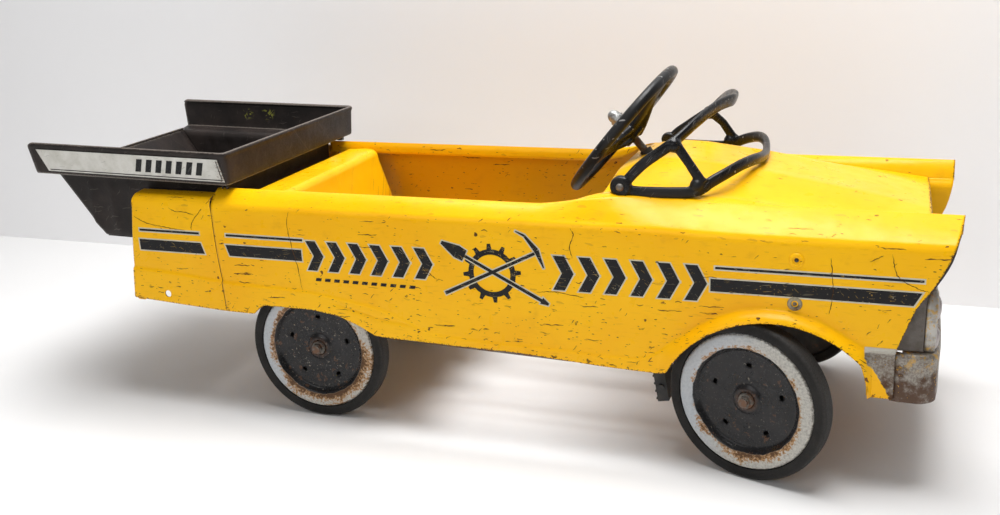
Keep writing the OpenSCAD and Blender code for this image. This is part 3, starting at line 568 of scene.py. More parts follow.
def yellow_enamel(name, inside=False):
    g = Graph(name)
    (x, y, z), (u, v), marks = enamel_wear(g, g.named("wear"), 1.5 if inside else 1.0)
    wide = g.noise(g.vector(u, v, 1.0), 0.006, 2.0)
    colour = g.ramp(wide, (0.35, 0.7), YELLOW, ORANGE)
    cloud = g.noise(g.vector(u, v, 5.0), 0.05, 3.0, 0.6)
    colour = g.ramp(cloud, (0.55, 0.85, 0.0, 0.35), colour, (0.62, 0.27, 0.006))
    streak = g.noise(g.vector(g.times(u, 0.12), g.times(v, 0.9)), 0.35, 2.0, 0.6, size="2D")
    colour = g.ramp(streak, (0.6, 0.8, 0.0, 0.22), colour, (0.5, 0.22, 0.006))
    # Painted shade: the copy for the sheets' inner faces is blended towards a darker orange
    if inside:
        colour = g.blend(0.45, colour, (0.50, 0.22, 0.010))
    halo = g.strokes(u, v, 17, 4.6, -2, 11.3, 0.02, 0.42)
    colour = g.lay(0.25, halo, colour, RUST)
    tone = g.noise(g.vector(u, v, 2.0), 0.3, 2.0)
    dark = g.ramp(tone, (0.42, 0.66), BROWN, RUST)
    faint = g.fade(g.noise(g.vector(u, v, 7.0), 0.14, 1.0), 0.34, 0.6, 0.45, 0.97)
    colour = g.blend(g.times(marks, faint), colour, dark)
    peel = g.noise(g.point(-ROW_X), 0.55, 2.0, 0.5)
    dents = g.noise(g.point(-ROW_X), 0.03, 2.0, 0.45)
    height = g.mad(marks, -0.35, g.mad(dents, 4.0, g.times(peel, 0.16)))
    normal = g.bump(height, 0.00028)
    rough = g.mad(marks, 0.35, g.fade(cloud, 0.3, 0.8, 0.27, 0.42))
    if inside:
        return g.finish(colour, rough, 0.0, normal, 0.16, 0.025)
    # The silver bumper's wrap, ragged where it meets the yellow; the bar along its top is the silver bead, made paler
    # by a painted highlight
    to_arch = g.node("VectorMath", {0: g.vector(x, z), 1: (ARCH_X, ARCH_Z, 0)}, operation="DISTANCE")
    near_arch = g.minus(to_arch.outputs["Value"], ARCH_R)
    ragged = g.times(g.minus(g.noise(g.vector(u, v, 13.0), 0.12, 3.0, 0.6), 0.5), 9.0)
    left = g.fade(z, 176, 117, 702, 719)
    inward = g.minus(g.mad(ragged, g.fade(z, 172, 164), x), left)
    wrap = g.times(g.fade(inward, 0, 1.5), g.fade(z, 178.5, 177.3))
    wrap = g.times(wrap, g.fade(g.plus(near_arch, ragged), 5.0, 6.5))
    # Painted highlight: the bead along the wrap's top is laid paler than the rest of the silver
    bar = g.times(wrap, g.fade(z, 170.5, 172.5))
    wrap = g.times(wrap, g.over(g.size(y), 150))
    silver = silver_tones(g, g.vector(u, v), z)[0]
    colour = g.blend(wrap, colour, g.lay(0.8, bar, silver, (0.58, 0.56, 0.50)))
    rough = g.mad(wrap, 0.1, rough)
    return g.finish(colour, rough, g.times(wrap, 0.55), normal, 0.16, 0.025)


def silver_tones(g, p, z):
    """Dull silver paint over brown rust: (colour, roughness). Rust gathers low down."""
    tone = g.noise(p, 0.06, 4.0, 0.62)
    speck = g.noise(p, 0.4, 2.0, 0.7)
    rusty = g.fade(g.plus(tone, g.fade(z, 165, 118, 0.0, 0.22)), 0.5, 0.72)
    colour = g.ramp(speck, (0.35, 0.7), (0.30, 0.275, 0.24), (0.16, 0.135, 0.11))
    colour = g.blend(rusty, colour, (0.085, 0.045, 0.026))
    flake = g.over(g.plus(speck, g.times(tone, 0.6)), 1.02)
    return g.blend(flake, colour, (0.62, 0.33, 0.02)), g.fade(tone, 0.3, 0.7, 0.34, 0.62)


def printed(name, colour, share=1.0):
    """Thin screen print on the yellow sheet, with scratches that show what lies under it."""
    g = Graph(name)
    _, (u, v), marks = enamel_wear(g, 0.0, 0.6)
    scrape = g.strokes(u, v, 22, 0.9, 3, 61.0, 0.12 * share, 0.30, 0.5)
    cross = g.strokes(u, v, 13, 0.9, -38, 71.0, 0.07 * share, 0.30, 0.5)
    pits = g.strokes(u, v, 2.2, 1.5, 0, 83.0, 0.07 * share, 0.36, 0.8)
    patch = g.noise(g.vector(u, v, 29.0), 0.022, 2.0)
    gone = g.over(g.plus(g.noise(g.vector(u, v, 17.0), 0.5, 4.0, 0.75), g.fade(patch, 0.5, 0.8, 0.0, 0.12)), 0.72)
    tone = g.noise(g.vector(u, v, 2.0), 0.07, 3.0)
    base = g.ramp(tone, (0.35, 0.7, 0.0, 0.5), colour, tuple(mix(c, 0.03, 0.3) for c in colour))
    bare = g.ramp(tone, (0.4, 0.6), (0.34, 0.30, 0.20), (0.50, 0.30, 0.04))
    base = g.blend(g.times(g.most(scrape, cross, pits), g.fade(patch, 0.35, 0.7, 0.25, 0.85)), base, bare)
    base = g.lay(0.8, gone, base, tuple(c * 0.8 for c in YELLOW))
    base = g.blend(g.times(marks, 0.8), base, BROWN)
    return g.finish(base, g.fade(tone, 0.3, 0.7, 0.34, 0.5), normal=g.bump(tone, 0.0001), specular=0.18)


def crack_line(name):
    """Dark rust in the bottom of a crack or scratch."""
    g = Graph(name)
    tone = g.noise(g.point(), 0.2, 3.0, 0.6)
    colour = g.ramp(tone, (0.35, 0.65), BROWN, (0.12, 0.05, 0.012))
    return g.finish(colour, 0.7, normal=g.bump(tone, 0.0001), specular=0.1)


def bed_enamel(name):
    """Old black enamel, brownish, dusty and scuffed."""
    g = Graph(name)
    p = g.point(-ROW_X)
    x, y, z = g.split(p)
    tone = g.noise(p, 0.022, 3.0, 0.6)
    fine = g.noise(p, 0.5, 3.0, 0.65)
    colour = g.ramp(tone, (0.35, 0.7), (0.017, 0.0135, 0.0125), (0.032, 0.024, 0.021))
    colour = g.ramp(fine, (0.6, 0.8, 0.0, 0.5), colour, (0.07, 0.058, 0.05))
    worn = g.named("wear")
    side = g.strokes(x, g.plus(z, y), 24, 1.8, 4, 5.0, 0.05, 0.36)
    cross = g.strokes(g.plus(x, y), z, 16, 1.5, 60, 15.0, 0.05, 0.34)
    mark = g.most(g.times(side, 0.6), g.times(cross, 0.45))
    edge = g.fade(g.mad(worn, 0.5, fine), 0.78, 0.98)
    colour = g.lay(0.55, mark, colour, (0.14, 0.12, 0.105))
    colour = g.lay(0.75, edge, colour, (0.17, 0.145, 0.125))
    pit = g.over(g.plus(g.noise(p, 0.16, 4.0, 0.7), g.times(worn, 0.07)), 0.72)
    colour = g.lay(0.7, pit, colour, (0.10, 0.045, 0.02))
    scuff = g.times(g.over(y, 120), g.over(z, 330))
    scuff = g.times(scuff, g.most(g.between(x, -302, -286, 4), g.between(x, -266, -246, 4)))
    scuff = g.times(scuff, g.over(g.noise(p, 0.09, 3.0, 0.7, 1.5), 0.56))
    scuff = g.times(scuff, g.between(z, 346, 360, 4))
    colour = g.lay(0.75, scuff, colour, (0.30, 0.30, 0.05))
    rough = g.fade(fine, 0.3, 0.75, 0.36, 0.62)
    height = g.mad(fine, 0.3, g.times(g.noise(p, 0.05, 2.0), 2.2))
    return g.finish(colour, rough, normal=g.bump(height, 0.0003), specular=0.22)


def glossy_black(name, scratches=1.0):
    """Moulded black plastic with dust, fine scratches and bright scuffs."""
    g = Graph(name)
    p = g.point(-ROW_X)
    x, y, z = g.split(p)
    fine = g.noise(p, 0.7, 3.0, 0.65)
    tone = g.noise(p, 0.05, 3.0, 0.6)
    colour = g.ramp(tone, (0.35, 0.7), (0.0045, 0.0045, 0.0055), (0.009, 0.0088, 0.0092))
    dust = g.fade(g.noise(p, 0.012, 2.0), 0.4, 0.65, 0.0, 0.45)
    colour = g.blend(dust, colour, (0.026, 0.025, 0.025))
    hair = g.strokes(g.plus(x, y), g.plus(z, g.times(x, -0.5)), 20, 1.1, 28, 7.0, 0.07 * scratches, 0.32)
    chip = g.strokes(g.plus(x, z), y, 5, 2.2, 15, 17.0, 0.045 * scratches, 0.36, 1.4)
    colour = g.blend(g.times(g.most(g.times(hair, 0.5), chip), 0.75), colour, (0.32, 0.31, 0.30))
    rough = g.mad(dust, 0.35, g.grain(fine, 0.2, 0.36))
    height = g.mad(fine, 0.12, g.times(g.noise(p, 0.07, 2.0), 1.6))
    return g.finish(colour, rough, normal=g.bump(height, 0.0003), specular=0.24)


def wheel_enamel(name, rust, seed):
    """Pressed wheel: glossy black dish, off-white ring and rust. Coordinates are the wheel's own."""
    g = Graph(name)
    p = g.point()
    x, _, z = g.split(p)
    r = g.radius(x, z)
    shifted = g.node("VectorMath", {0: p, 1: (seed * 91.0, 0, seed * 37.0)}, operation="ADD").outputs[0]
    tone = g.noise(shifted, 0.035, 4.0, 0.62)
    fine = g.noise(shifted, 0.32, 4.0, 0.68)
    ragged = g.mad(g.minus(tone, 0.5), 7.0, r)
    ring = g.times(g.fade(ragged, DISH_R, DISH_R + 1.2), g.fade(r, DISC_R + 0.2, DISC_R - 0.4))
    white = g.ramp(fine, (0.35, 0.7), (0.50, 0.485, 0.44), (0.30, 0.29, 0.27))
    # Painted reflection: the ring is tinted blue towards one side of the wheel, as cool light falling on it would look
    painted_cool_reflection = g.fade(g.plus(x, g.times(z, 0.3)), -20, 60)
    white = g.lay(0.55, painted_cool_reflection, white, (0.44, 0.50, 0.58))
    black = g.ramp(tone, (0.3, 0.7), (0.006, 0.006, 0.007), (0.016, 0.015, 0.016))
    colour = g.blend(ring, black, white)
    # Rust eats the ring from its inner edge and from below
    inner = g.fade(r, 80, 65, 0.0, 0.34)
    low = g.fade(g.plus(z, g.times(x, 0.6)), 40, -70, 0.0, 0.16)
    eaten = g.plus(g.plus(fine, inner), g.plus(low, g.times(g.minus(tone, 0.5), 0.9)))
    limit = 1.02 - rust
    orange = g.times(g.fade(eaten, limit - 0.10, limit), ring)
    brown = g.times(g.fade(eaten, limit + 0.02, limit + 0.14), ring)
    colour = g.lay(0.85, orange, colour, (0.36, 0.17, 0.035))
    colour = g.lay(0.9, brown, colour, (0.075, 0.036, 0.018))
    lip = g.times(g.fade(r, 81.5, 83.0), g.fade(fine, 0.42, 0.56))
    colour = g.blend(g.times(lip, 0.45 + rust), colour, (0.05, 0.035, 0.025))
    specks = g.over(g.noise(shifted, 0.24, 3.0, 0.75), 0.70 - rust * 0.2)
    dish = g.fade(r, DISH_R, DISH_R - 2)
    colour = g.blend(g.times(g.times(specks, dish), 0.7), colour, (0.30, 0.27, 0.22))
    hub = g.times(g.fade(r, 17, 9), g.fade(fine, 0.3, 0.6))
    colour = g.lay(0.85, hub, colour, (0.09, 0.045, 0.025))
    spots = g.times(g.over(g.noise(shifted, 0.08, 3.0, 0.6), 0.68 - rust * 0.25), dish)
    colour = g.lay(0.6, spots, colour, (0.10, 0.045, 0.02))
    rough = g.mad(ring, 0.2, g.grain(fine, 0.16, 0.34))
    rough = g.mad(brown, 0.3, rough)
    height = g.mad(g.times(fine, g.plus(ring, 0.2)), 0.9, g.times(g.noise(p, 0.04, 2.0), 2.0))
    return g.finish(colour, rough, normal=g.bump(height, 0.00035), specular=0.3)


def tyre_rubber(name):
    """Solid rubber: dusty, with a worn tread. Coordinates are the wheel's own."""
    g = Graph(name)
    p = g.point()
    x, y, z = g.split(p)
    r = g.radius(x, z)
    turn = g.math("ARCTAN2", z, x)
    fine = g.noise(p, 0.6, 4.0, 0.7)
    tone = g.noise(p, 0.03, 3.0, 0.6)
    colour = g.ramp(tone, (0.3, 0.7), (0.0115, 0.0108, 0.0105), (0.022, 0.0205, 0.019))
    tread = g.fade(r, 93, 97.5)
    scrub = g.noise(g.vector(g.times(turn, 90), y), 0.5, 3.0, 0.7, size="2D")
    colour = g.blend(g.times(tread, g.fade(scrub, 0.3, 0.75, 0.25, 0.95)), colour, (0.042, 0.039, 0.036))
    nick = g.over(g.noise(p, 0.22, 4.0, 0.75), 0.71)
    colour = g.lay(0.6, nick, colour, (0.16, 0.15, 0.14))
    colour = g.ramp(fine, (0.62, 0.85, 0.0, 0.35), colour, (0.12, 0.11, 0.10))
    crack = g.times(g.fade(g.cells(p, 0.25, "DISTANCE_TO_EDGE").outputs["Distance"], 0.05, 0.0), 0.5)
    height = g.minus(g.times(fine, 0.7), crack)
    return g.finish(colour, g.grain(fine, 0.55, 0.82), normal=g.bump(height, 0.0003), specular=0.2)


def rusty_steel(name, bare=0.3):
    g = Graph(name)
    p = g.point()
    tone = g.noise(p, 0.07, 5.0, 0.65)
    fine = g.noise(p, 0.8, 4.0, 0.7)
    colour = g.ramp(tone, (0.35, 0.65), (0.055, 0.030, 0.018), (0.135, 0.058, 0.024))
    colour = g.ramp(fine, (0.55, 0.8), colour, (0.24, 0.105, 0.04))
    steel = g.fade(tone, 0.46 + bare * 0.3, 0.36 + bare * 0.3)
    colour = g.blend(steel, colour, (0.20, 0.185, 0.165))
    height = g.mad(fine, 0.8, g.times(tone, 1.2))
    return g.finish(colour, g.grain(fine, 0.42, 0.85), g.times(steel, 0.8), g.bump(height, 0.0004))


def dull_silver(name):
    """The bumper's and lamps' paint, with a painted highlight where it faces up and forward, and bare rust low at the
    corners.
    """
    g = Graph(name)
    p = g.point(-ROW_X)
    x, y, z = g.split(p)
    colour, rough = silver_tones(g, p, z)
    # Painted highlight: the bumper's front and top are laid paler, as light from above and ahead would make them
    painted_highlight = g.times(g.fade(x, 752, 764), g.fade(z, 178, 190))
    colour = g.blend(g.times(painted_highlight, g.fade(g.noise(p, 0.09, 3.0), 0.35, 0.6, 0.3, 0.95)), colour, (0.50, 0.485, 0.45))
    corner = g.times(g.fade(z, 148, 168), g.fade(g.noise(p, 0.16, 4.0, 0.7), 0.52, 0.6))
    corner = g.times(corner, g.fade(g.size(y), 120, 150))
    colour = g.lay(0.7, corner, colour, (0.58, 0.32, 0.02))
    height = g.mad(g.noise(p, 0.5, 3.0, 0.7), 0.5, g.times(g.noise(p, 0.03, 2.0), 4.0))
    return g.finish(colour, rough, 0.35, g.bump(height, 0.0004))


def bare_plate(name, colour, metal=0.85, rough=0.32):
    """Plated or plain steel with dull patches and small rust spots."""
    g = Graph(name)
    p = g.point()
    tone = g.noise(p, 0.12, 4.0, 0.62)
    fine = g.noise(p, 1.1, 3.0, 0.65)
    dull = tuple(c * 0.45 for c in colour)
    mixed = g.ramp(tone, (0.4, 0.7), colour, dull)
    spot = g.fade(g.plus(tone, g.times(fine, 0.3)), 0.76, 0.84)
    mixed = g.lay(0.85, spot, mixed, (0.10, 0.05, 0.025))
    return g.finish(mixed, g.grain(fine, rough, rough + 0.22), metal, g.bump(fine, 0.00015))


def dull_coat(name, tone, fine, low, high, spots, rough, metal, relief):
    """A matt coat between two colours, with small rust spots where the noise passes the spots' step."""
    g = Graph(name)
    p = g.point(-ROW_X)
    tone, fine = g.noise(p, *tone), g.noise(p, *fine)
    colour = g.ramp(tone, (0.35, 0.65), low, high)
    colour = g.ramp(g.mad(fine, 0.35, tone), spots, colour, (0.10, 0.048, 0.022))
    height = g.mad(fine, 0.5, tone) if relief else fine
    return g.finish(colour, g.grain(fine, *rough), metal, g.bump(height, 0.0003))


def pad_rubber(name):
    g = Graph(name)
    p = g.point()
    fine = g.noise(p, 0.9, 4.0, 0.7)
    tone = g.noise(p, 0.06, 3.0)
    colour = g.ramp(tone, (0.3, 0.7), (0.014, 0.014, 0.014), (0.038, 0.036, 0.034))
    colour = g.ramp(fine, (0.6, 0.82, 0.0, 0.5), colour, (0.10, 0.095, 0.09))
    return g.finish(colour, g.grain(fine, 0.6, 0.85), normal=g.bump(fine, 0.0003))


def plate_white(name):
    """The bed's pale name plates, bare but for bars: off-white enamel with stains and rust at the corners."""
    g = Graph(name)
    p = g.point(-ROW_X)
    x, _, z = g.split(p)
    tone = g.noise(p, 0.05, 4.0, 0.6)
    fine = g.noise(p, 0.5, 3.0, 0.65)
    colour = g.ramp(tone, (0.35, 0.7), (0.66, 0.65, 0.61), (0.54, 0.53, 0.48))
    ends = g.most(g.fade(x, -396, -412), g.fade(x, -124, -108))
    rusty = g.fade(g.plus(g.times(ends, 0.2), fine), 0.66, 0.78)
    colour = g.lay(0.85, rusty, colour, (0.13, 0.065, 0.03))
    hair = g.strokes(x, z, 18, 1.0, 12, 3.0, 0.07, 0.3)
    colour = g.lay(0.6, hair, colour, (0.12, 0.11, 0.10))
    return g.finish(colour, g.grain(fine, 0.3, 0.5), normal=g.bump(tone, 0.0002))


def cad_pitch():
    """The matrix that tips the bed's level drawing to its place."""
    at = Vector(place(HINGE[0], 0, HINGE[1]))
    return Matrix.Translation(at) @ Matrix.Rotation(BED_PITCH, 4, "Y") @ Matrix.Translation(-at)


def punch(piece, at, axis, radius, height=0.02):
    """A round hole in a fine grid: faces inside go, and the hole's edge is moved onto the circle."""
    at, axis = Vector(at), Vector(axis).normalized()

    def off(p):
        d = Vector(p) - at
        along = d.dot(axis)
        return d - axis * along, along

    with edited(piece) as bm:
        gone = []
        for face in bm.faces:
            radial, along = off(face.calc_center_median())
            if radial.length < radius and abs(along) < height:
                gone.append(face)
        edge = {v for face in gone for v in face.verts if any(f not in gone for f in v.link_faces)}
        for v in edge:
            radial, along = off(v.co)
            v.co += radial.normalized() * (radius - radial.length)
        bmesh.ops.delete(bm, geom=gone, context="FACES")


# The body's sheet, as cross-sections along X

SILL = [(-275, 158), (-130, 149.5), (-82, 149), (-66, 162.5), (10, 162.5), (50, 156.5), (80, 144.5),
        (100, 134), (124, 132), (mix(124, COWL_X, 0.64), 129.5), (COWL_X, 123),
        (ARCH_X - ARCH_END - 13, 120.5), (ARCH_X - ARCH_END, 125)]
CREASE = [(-275, 203.3), (-203, 199.8), (-117, 192.1), (-66, 190.7), (-17, 189.9), (18, 187.4), (50, 182.9),
          (93, 176.4), (124, 168.2), (150, 158), (164, 148), (198, 143.6), (268, 141), (343, 140.4), (403, 138.2),
          (445, 138.2), (457, 141), (469, 147), (480, 156.5), (498, 169), (521, 187), (544, 200.9), (566, 209),
          (594, 213.3), (621, 212.4), (654, 202), (676, 190.5), (693, 180), (703, 175.6), (712, 174.5), (802, 174.5)]
STEP = [(-275, 2.6), (90, 2.6), (128, 2.0), (152, 0.9), (166, 1.6), (200, 2.3), (440, 2.3), (482, 1.5), (520, 1.1),
        (690, 1.0), (706, 0.0), (802, 0.0)]
GROOVE = [(30, 178), (60, 170.5), (90, 163.5), (120, 157), (150, 154.5)]


def edge_z(x):
    """The side sheet's lower edge: the sill, then the arch, then the bumper's foot."""
    if abs(x - ARCH_X) < ARCH_END + 0.3:
        return ARCH_Z + sqrt(ARCH_R ** 2 - (x - ARCH_X) ** 2)
    return soft_lookup(x, SILL, 1.8) if x < ARCH_X else 117.0


def flare(x):
    """How far the arch's edge stands out from the side."""
    u = abs(x - ARCH_X) / (ARCH_R - 2)
    return 14 * (1 - u ** 6) if u < 1 else 0.0


def crease_z(x):
    return soft_lookup(x, CREASE, 4)


def front_edge_x(z):
    """The side sheet's front edge, from the bumper up to the fin's tip."""
    return soft_lookup(z, [(112, TIP_X - 61), (174, TIP_X - 62), (228, TIP_X - 43.5), (250, TIP_X - 28.5),
                           (275, TIP_X - 16), (302, TIP_X - 6.5), (322, TIP_X)], 6)


# Ahead of FAN_X the cross-sections fan out, so that the last one lies along the sheet's front edge
FAN_X = TIP_X - 97
END_X = TIP_X + 3


def front_x(x, z):
    return x if x <= FAN_X else FAN_X + (x - FAN_X) / (END_X - FAN_X) * (front_edge_x(z) - FAN_X)


def panel_ridge_y(x):
    return ease(x, COWL_X - 10, COWL_X + 72, RIM_Y + 2, RIDGE_Y)


def panel_ridge_z(x):
    return soft_lookup(x, [(RISE_X - 8, RIM_Z), (RISE_X + 22, RIM_Z + 4), (RISE_X + 45, RIM_Z + 8.5),
                           (COWL_X + 6, RIM_Z + 12), (COWL_X + 52, RIM_Z + 11), (COWL_X + 122, RIM_Z + 7.5),
                           (COWL_X + 202, RIDGE_Z + 0.5), (END_X, RIDGE_Z)], 10)


def join_y(x):
    """Half-width of the line where the hood meets the side sheet."""
    if x < COWL_X:
        return ease(x, RISE_X + 15, COWL_X, RIM_Y - 1.5, RIM_Y - 9)
    return ease(x, COWL_X, COWL_X + 52, RIM_Y - 9, RIDGE_Y - 13)


def join_z(x):
    return soft_lookup(x, [(RISE_X - 12, RIM_Z - 7.5), (RISE_X + 14, RIM_Z - 2), (RISE_X + 42, RIM_Z + 8),
                           (COWL_X, RIM_Z + 15), (COWL_X + 52, RIM_Z + 13), (COWL_X + 102, RIM_Z + 11),
                           (COWL_X + 162, RIM_Z + 8), (COWL_X + 222, RIDGE_Z - 4), (COWL_X + 302, RIDGE_Z - 13),
                           (NOSE_X, RIDGE_Z - 21.5), (END_X, RIDGE_Z - 24)], 8)


def shoulder(x):
    return SHOULDER_Z - ease(x, COWL_X, COWL_X + 200, 0, 3)


def wall_y(x, z):
    """Half-width of the side above its crease."""
    low, high = crease_z(x), shoulder(x) - 16
    if z > high:
        return SIDE_Y - 0.5 * (z - high) / 8
    return SIDE_Y + 1.5 * sin(pi * min(1, max(0, (z - low) / (high - low)))) + bead(x, z)


def bead(x, z):
    """The bar pressed along the top of the bumper's wrap, and the soft bead along the arch's brow."""
    t = abs(z - crease_z(x)) / 3.4
    if t >= 1:
        return 0.0
    bar, brow = 2.4 * ease(x, 703, 709, 0, 1), 0.7 * ease(x, 470, 500, 0, 1) * ease(x, 690, 705, 1, 0)
    return cos(t * pi / 2) ** 2 * (bar + brow)


def low_rows(x):
    """The wall from its rolled lower edge up past the crease, as (half-width, z) pairs."""
    b, f, zc, step = edge_z(x), flare(x), crease_z(x), lookup(x, STEP)
    w = SIDE_Y + step
    groove = lookup(x, GROOVE)
    deep = 1.5 * ease(x, 28, 60, 0, 1) * ease(x, 146, 158, 1, 0)
    rows = [(w + f - 4.6, b + 2.6), (w + f - 4, b + 0.9), (w + f - 2.2, b), (w + f - 0.7, b + 0.5), (w + f, b + 1.8)]
    top = zc - 5.5
    for k in range(1, 13):
        z = mix(b + 1.8, top, k / 12)
        t = (z - b) / max(1.0, zc - b)
        rows.append((w + f * (1 - t ** 2.2) - deep * exp(-((z - groove) / 2.2) ** 2), z))
    for d in (-4.2, -3.2, -2.2, -1.2, -0.4, 0.6, 2.0, 3.6):
        z = max(zc + d, b + 1.9 + 0.05 * (d + 5))
        t = min(1.0, (z - b) / max(1.0, zc - b))
        y = SIDE_Y + step * smooth((0.4 - d) / 3.4) + (f * (1 - t ** 2.2) if d < 0 else 0)
        rows.append((y + bead(x, z), z))
    return rows


def side_rows(x):
    """One cross-section of a side panel from its lower edge to the cockpit or hood."""
    s, w = shoulder(x), SIDE_Y
    ry, rz, jy, jz = panel_ridge_y(x), panel_ridge_z(x), join_y(x) + 0.5, join_z(x)
    rows = low_rows(x)
    start, high = rows[-1][1] + 2.2, s - 16
    for k in range(24):
        z = mix(start, high - 2, k / 23)
        rows.append((wall_y(x, z), z))
    knots = [(w, high), (w - 0.5, s - 8), (w - 2.5, s - 2.5), (w - 6, s + 1.5)]
    knots += [(mix(w - 6, ry + 3, k / 3), mix(s + 1.5, rz - 1.5, k / 3) + 1.2) for k in (1, 2)]
    knots += [(ry + 3, rz - 1.2), (ry, rz)]
    rows += [tuple(p) for p in spline(knots, 4)]
    rows += [(ry - 0.8, rz + 0.05), (mix(ry, jy, 0.4), mix(rz, jz, 0.14)),
             (mix(ry, jy, 0.8), mix(rz, jz, 0.6)), (jy, jz)]
    drop = ease(x, RISE_X + 20, COWL_X - 6, 9.0, 0.0)
    rows += [(jy - 0.1, jz - 0.3 - drop * 0.2), (jy - 0.2, jz - 0.4 - drop * 0.6), (jy - 0.2, jz - 0.5 - drop)]
    return rows


def seam_shift(x, z):
    """The seam behind the cockpit leans forward as it goes down, and the tail leans back as it goes up."""
    near = exp(-abs(x - SEAM_X) / 30)
    tail = smooth((SEAM_X - 40 - x) / 100)
    return lookup(z, [(147, 8), (217, 3), (308, -2)]) * near \
        + lookup(z, [(157, 0.6), (204, 5.3), (241, 10), (277, 14), (306, 17.5)]) * tail


def side_panel(side):
    xs = list(np.arange(SEAM_X + 0.6, ARCH_X - ARCH_END - 14, 4.0))
    xs += [ARCH_X - ARCH_END - 13 + 2.6 * k for k in range(5)]
    angles = np.linspace(degrees(acos(-ARCH_END / ARCH_R)), degrees(acos(ARCH_END / ARCH_R)), 64)
    xs += [ARCH_X + ARCH_R * cos(radians(a)) for a in angles]
    last = ARCH_X + ARCH_END
    xs += [last + d for d in np.linspace(1.2, END_X - last, 26)]
    grid, wear = [], []
    for x in xs:
        line = []
        rows = side_rows(x)
        floor, top = rows[2][1], len(rows) - 8
        wrap = ease(x, 715, 721, 0, 0.8)
        for k, (y, z) in enumerate(rows):
            if wrap and z < 171.5:
                y += wrap
            px = front_x(x, z if k < top else rows[top][1]) + seam_shift(x, z)
            line.append(place(px, side * y, z))
            w = max(exp(-max(0, z - floor) / 6), exp(-(END_X - x) / 4), 0.8 * exp(-(x - SEAM_X) / 2.5))
            if k >= top:
                w = max(w, 0.42 if x < COWL_X else 0.22)
            wear.append(max(w, 0.16) if 45 <= k <= 55 else w)
        grid.append(line)
    piece = grid_piece("side_sheet_" + hand(side), grid, (0, side, 0.2), sharp=40)
    set_wear_by_place(piece, grid, wear)
    return dress_sheet(piece, "side_panel_" + hand(side))


def set_wear_by_place(piece, grid, wear):
    """Gives each vertex of a welded grid the wear of the grid point that it came from."""
    points = np.array([p for row in grid for p in row])
    known = {tuple(p): w for p, w in zip(np.round(points, 6), wear)}
    out = []
    for v in piece.data.vertices:
        at = np.array(v.co, float)
        key = tuple(np.round(at, 6))
        out.append(known[key] if key in known else wear[int(((points - at) ** 2).sum(1).argmin())])
    set_wear(piece, out)


QUARTER_HOLE_X, QUARTER_HOLE_Z, QUARTER_HOLE_R = -215, 168, 5


def quarter_rows(x):
    """One cross-section of a rear quarter from its lower edge over the top."""
    rows = low_rows(x)
    start = rows[-1][1] + 2.2
    for k in range(20):
        z = mix(start, SHOULDER_Z - 14, k / 19)
        rows.append((wall_y(x, z), z))
    rows += arc(SIDE_Y - 12, SHOULDER_Z - 6, 12, 6, 80, 8)
    edge = [(166 - RIM_Y, 6.4), (4, 7), (0, 7.2), (-2, 6.7), (-3.2, 4.5), (-3.5, 0), (-3.5, -6)]
    return rows + [(RIM_Y + y, SHOULDER_Z + z) for y, z in edge]


def rear_quarter(side):
    grid, wear = [], []
    xs = [(TAIL_X + 1.5, 8.0), (TAIL_X + 0.3, 5.0)]
    xs += [(TAIL_X + 4 - 4 * sin(radians(a)), 4 * (1 - cos(radians(a)))) for a in (80, 55, 30, 10)]
    xs += [(x, 0.0) for x in np.linspace(TAIL_X + 7, SEAM_X - 0.3, 48)]
    for x, inset in xs:
        line = []
        rows = quarter_rows(x)
        for y, z in rows:
            top = smooth((z - 285) / 18)
            line.append(place(x + seam_shift(x, z), side * (y - inset * (1 - top)), z - inset * top))
            w = max(exp(-max(0, z - rows[2][1]) / 6), exp(-(x - TAIL_X) / 5), 0.8 * exp((x - SEAM_X) / 2.5))
            corner = hypot(x - TAIL_X, z - 158)
            wear.append(max(w, 1.25 * exp(-corner / 12), 0.2 if z > 300 else 0))
        grid.append(line)
    piece = grid_piece("quarter_sheet_" + hand(side), grid, (0, side, 0.2), sharp=40)
    set_wear_by_place(piece, grid, wear)
    punch(piece, place(QUARTER_HOLE_X, side * SIDE_Y, QUARTER_HOLE_Z), (0, 1, 0), QUARTER_HOLE_R * MM)
    return dress_sheet(piece, "rear_quarter_" + hand(side))


HOOD_LOW_Z = 289
COLUMN_TO_HOOD, COLUMN_HOLE_R = 290, 8.2
# (share of the half-width, share of the drop from the crown to the edge)
HOOD_SHAPE = [(0, 0), (0.25, 0.0), (0.42, -0.03), (0.5, 0.08), (0.62, 0.30), (0.80, 0.72), (0.92, 0.95), (1, 1)]
HOOD_CURVE = spline(HOOD_SHAPE, 8)


def crown_z(x):
    """The hood's height along its middle."""
    return soft_lookup(x, [(COWL_X, 340), (COWL_X + 14, 346), (COWL_X + 32, 351.5), (COWL_X + 57, 355),
                           (COWL_X + 92, 353.5), (COWL_X + 127, 349), (COWL_X + 168, 344), (COWL_X + 212, 336.5),
                           (COWL_X + 272, 326), (COWL_X + 322, 316), (NOSE_X, 305)], 7)


def hood_row(x, drop=0.0, forward=0.0):
    c, e, w = crown_z(x), join_z(x), join_y(x)
    half = [(p[0] * w, mix(c, e, p[1]) - drop) for p in HOOD_CURVE]
    return [place(x + forward, -y, z) for y, z in reversed(half[1:])] + [place(x + forward, y, z) for y, z in half]


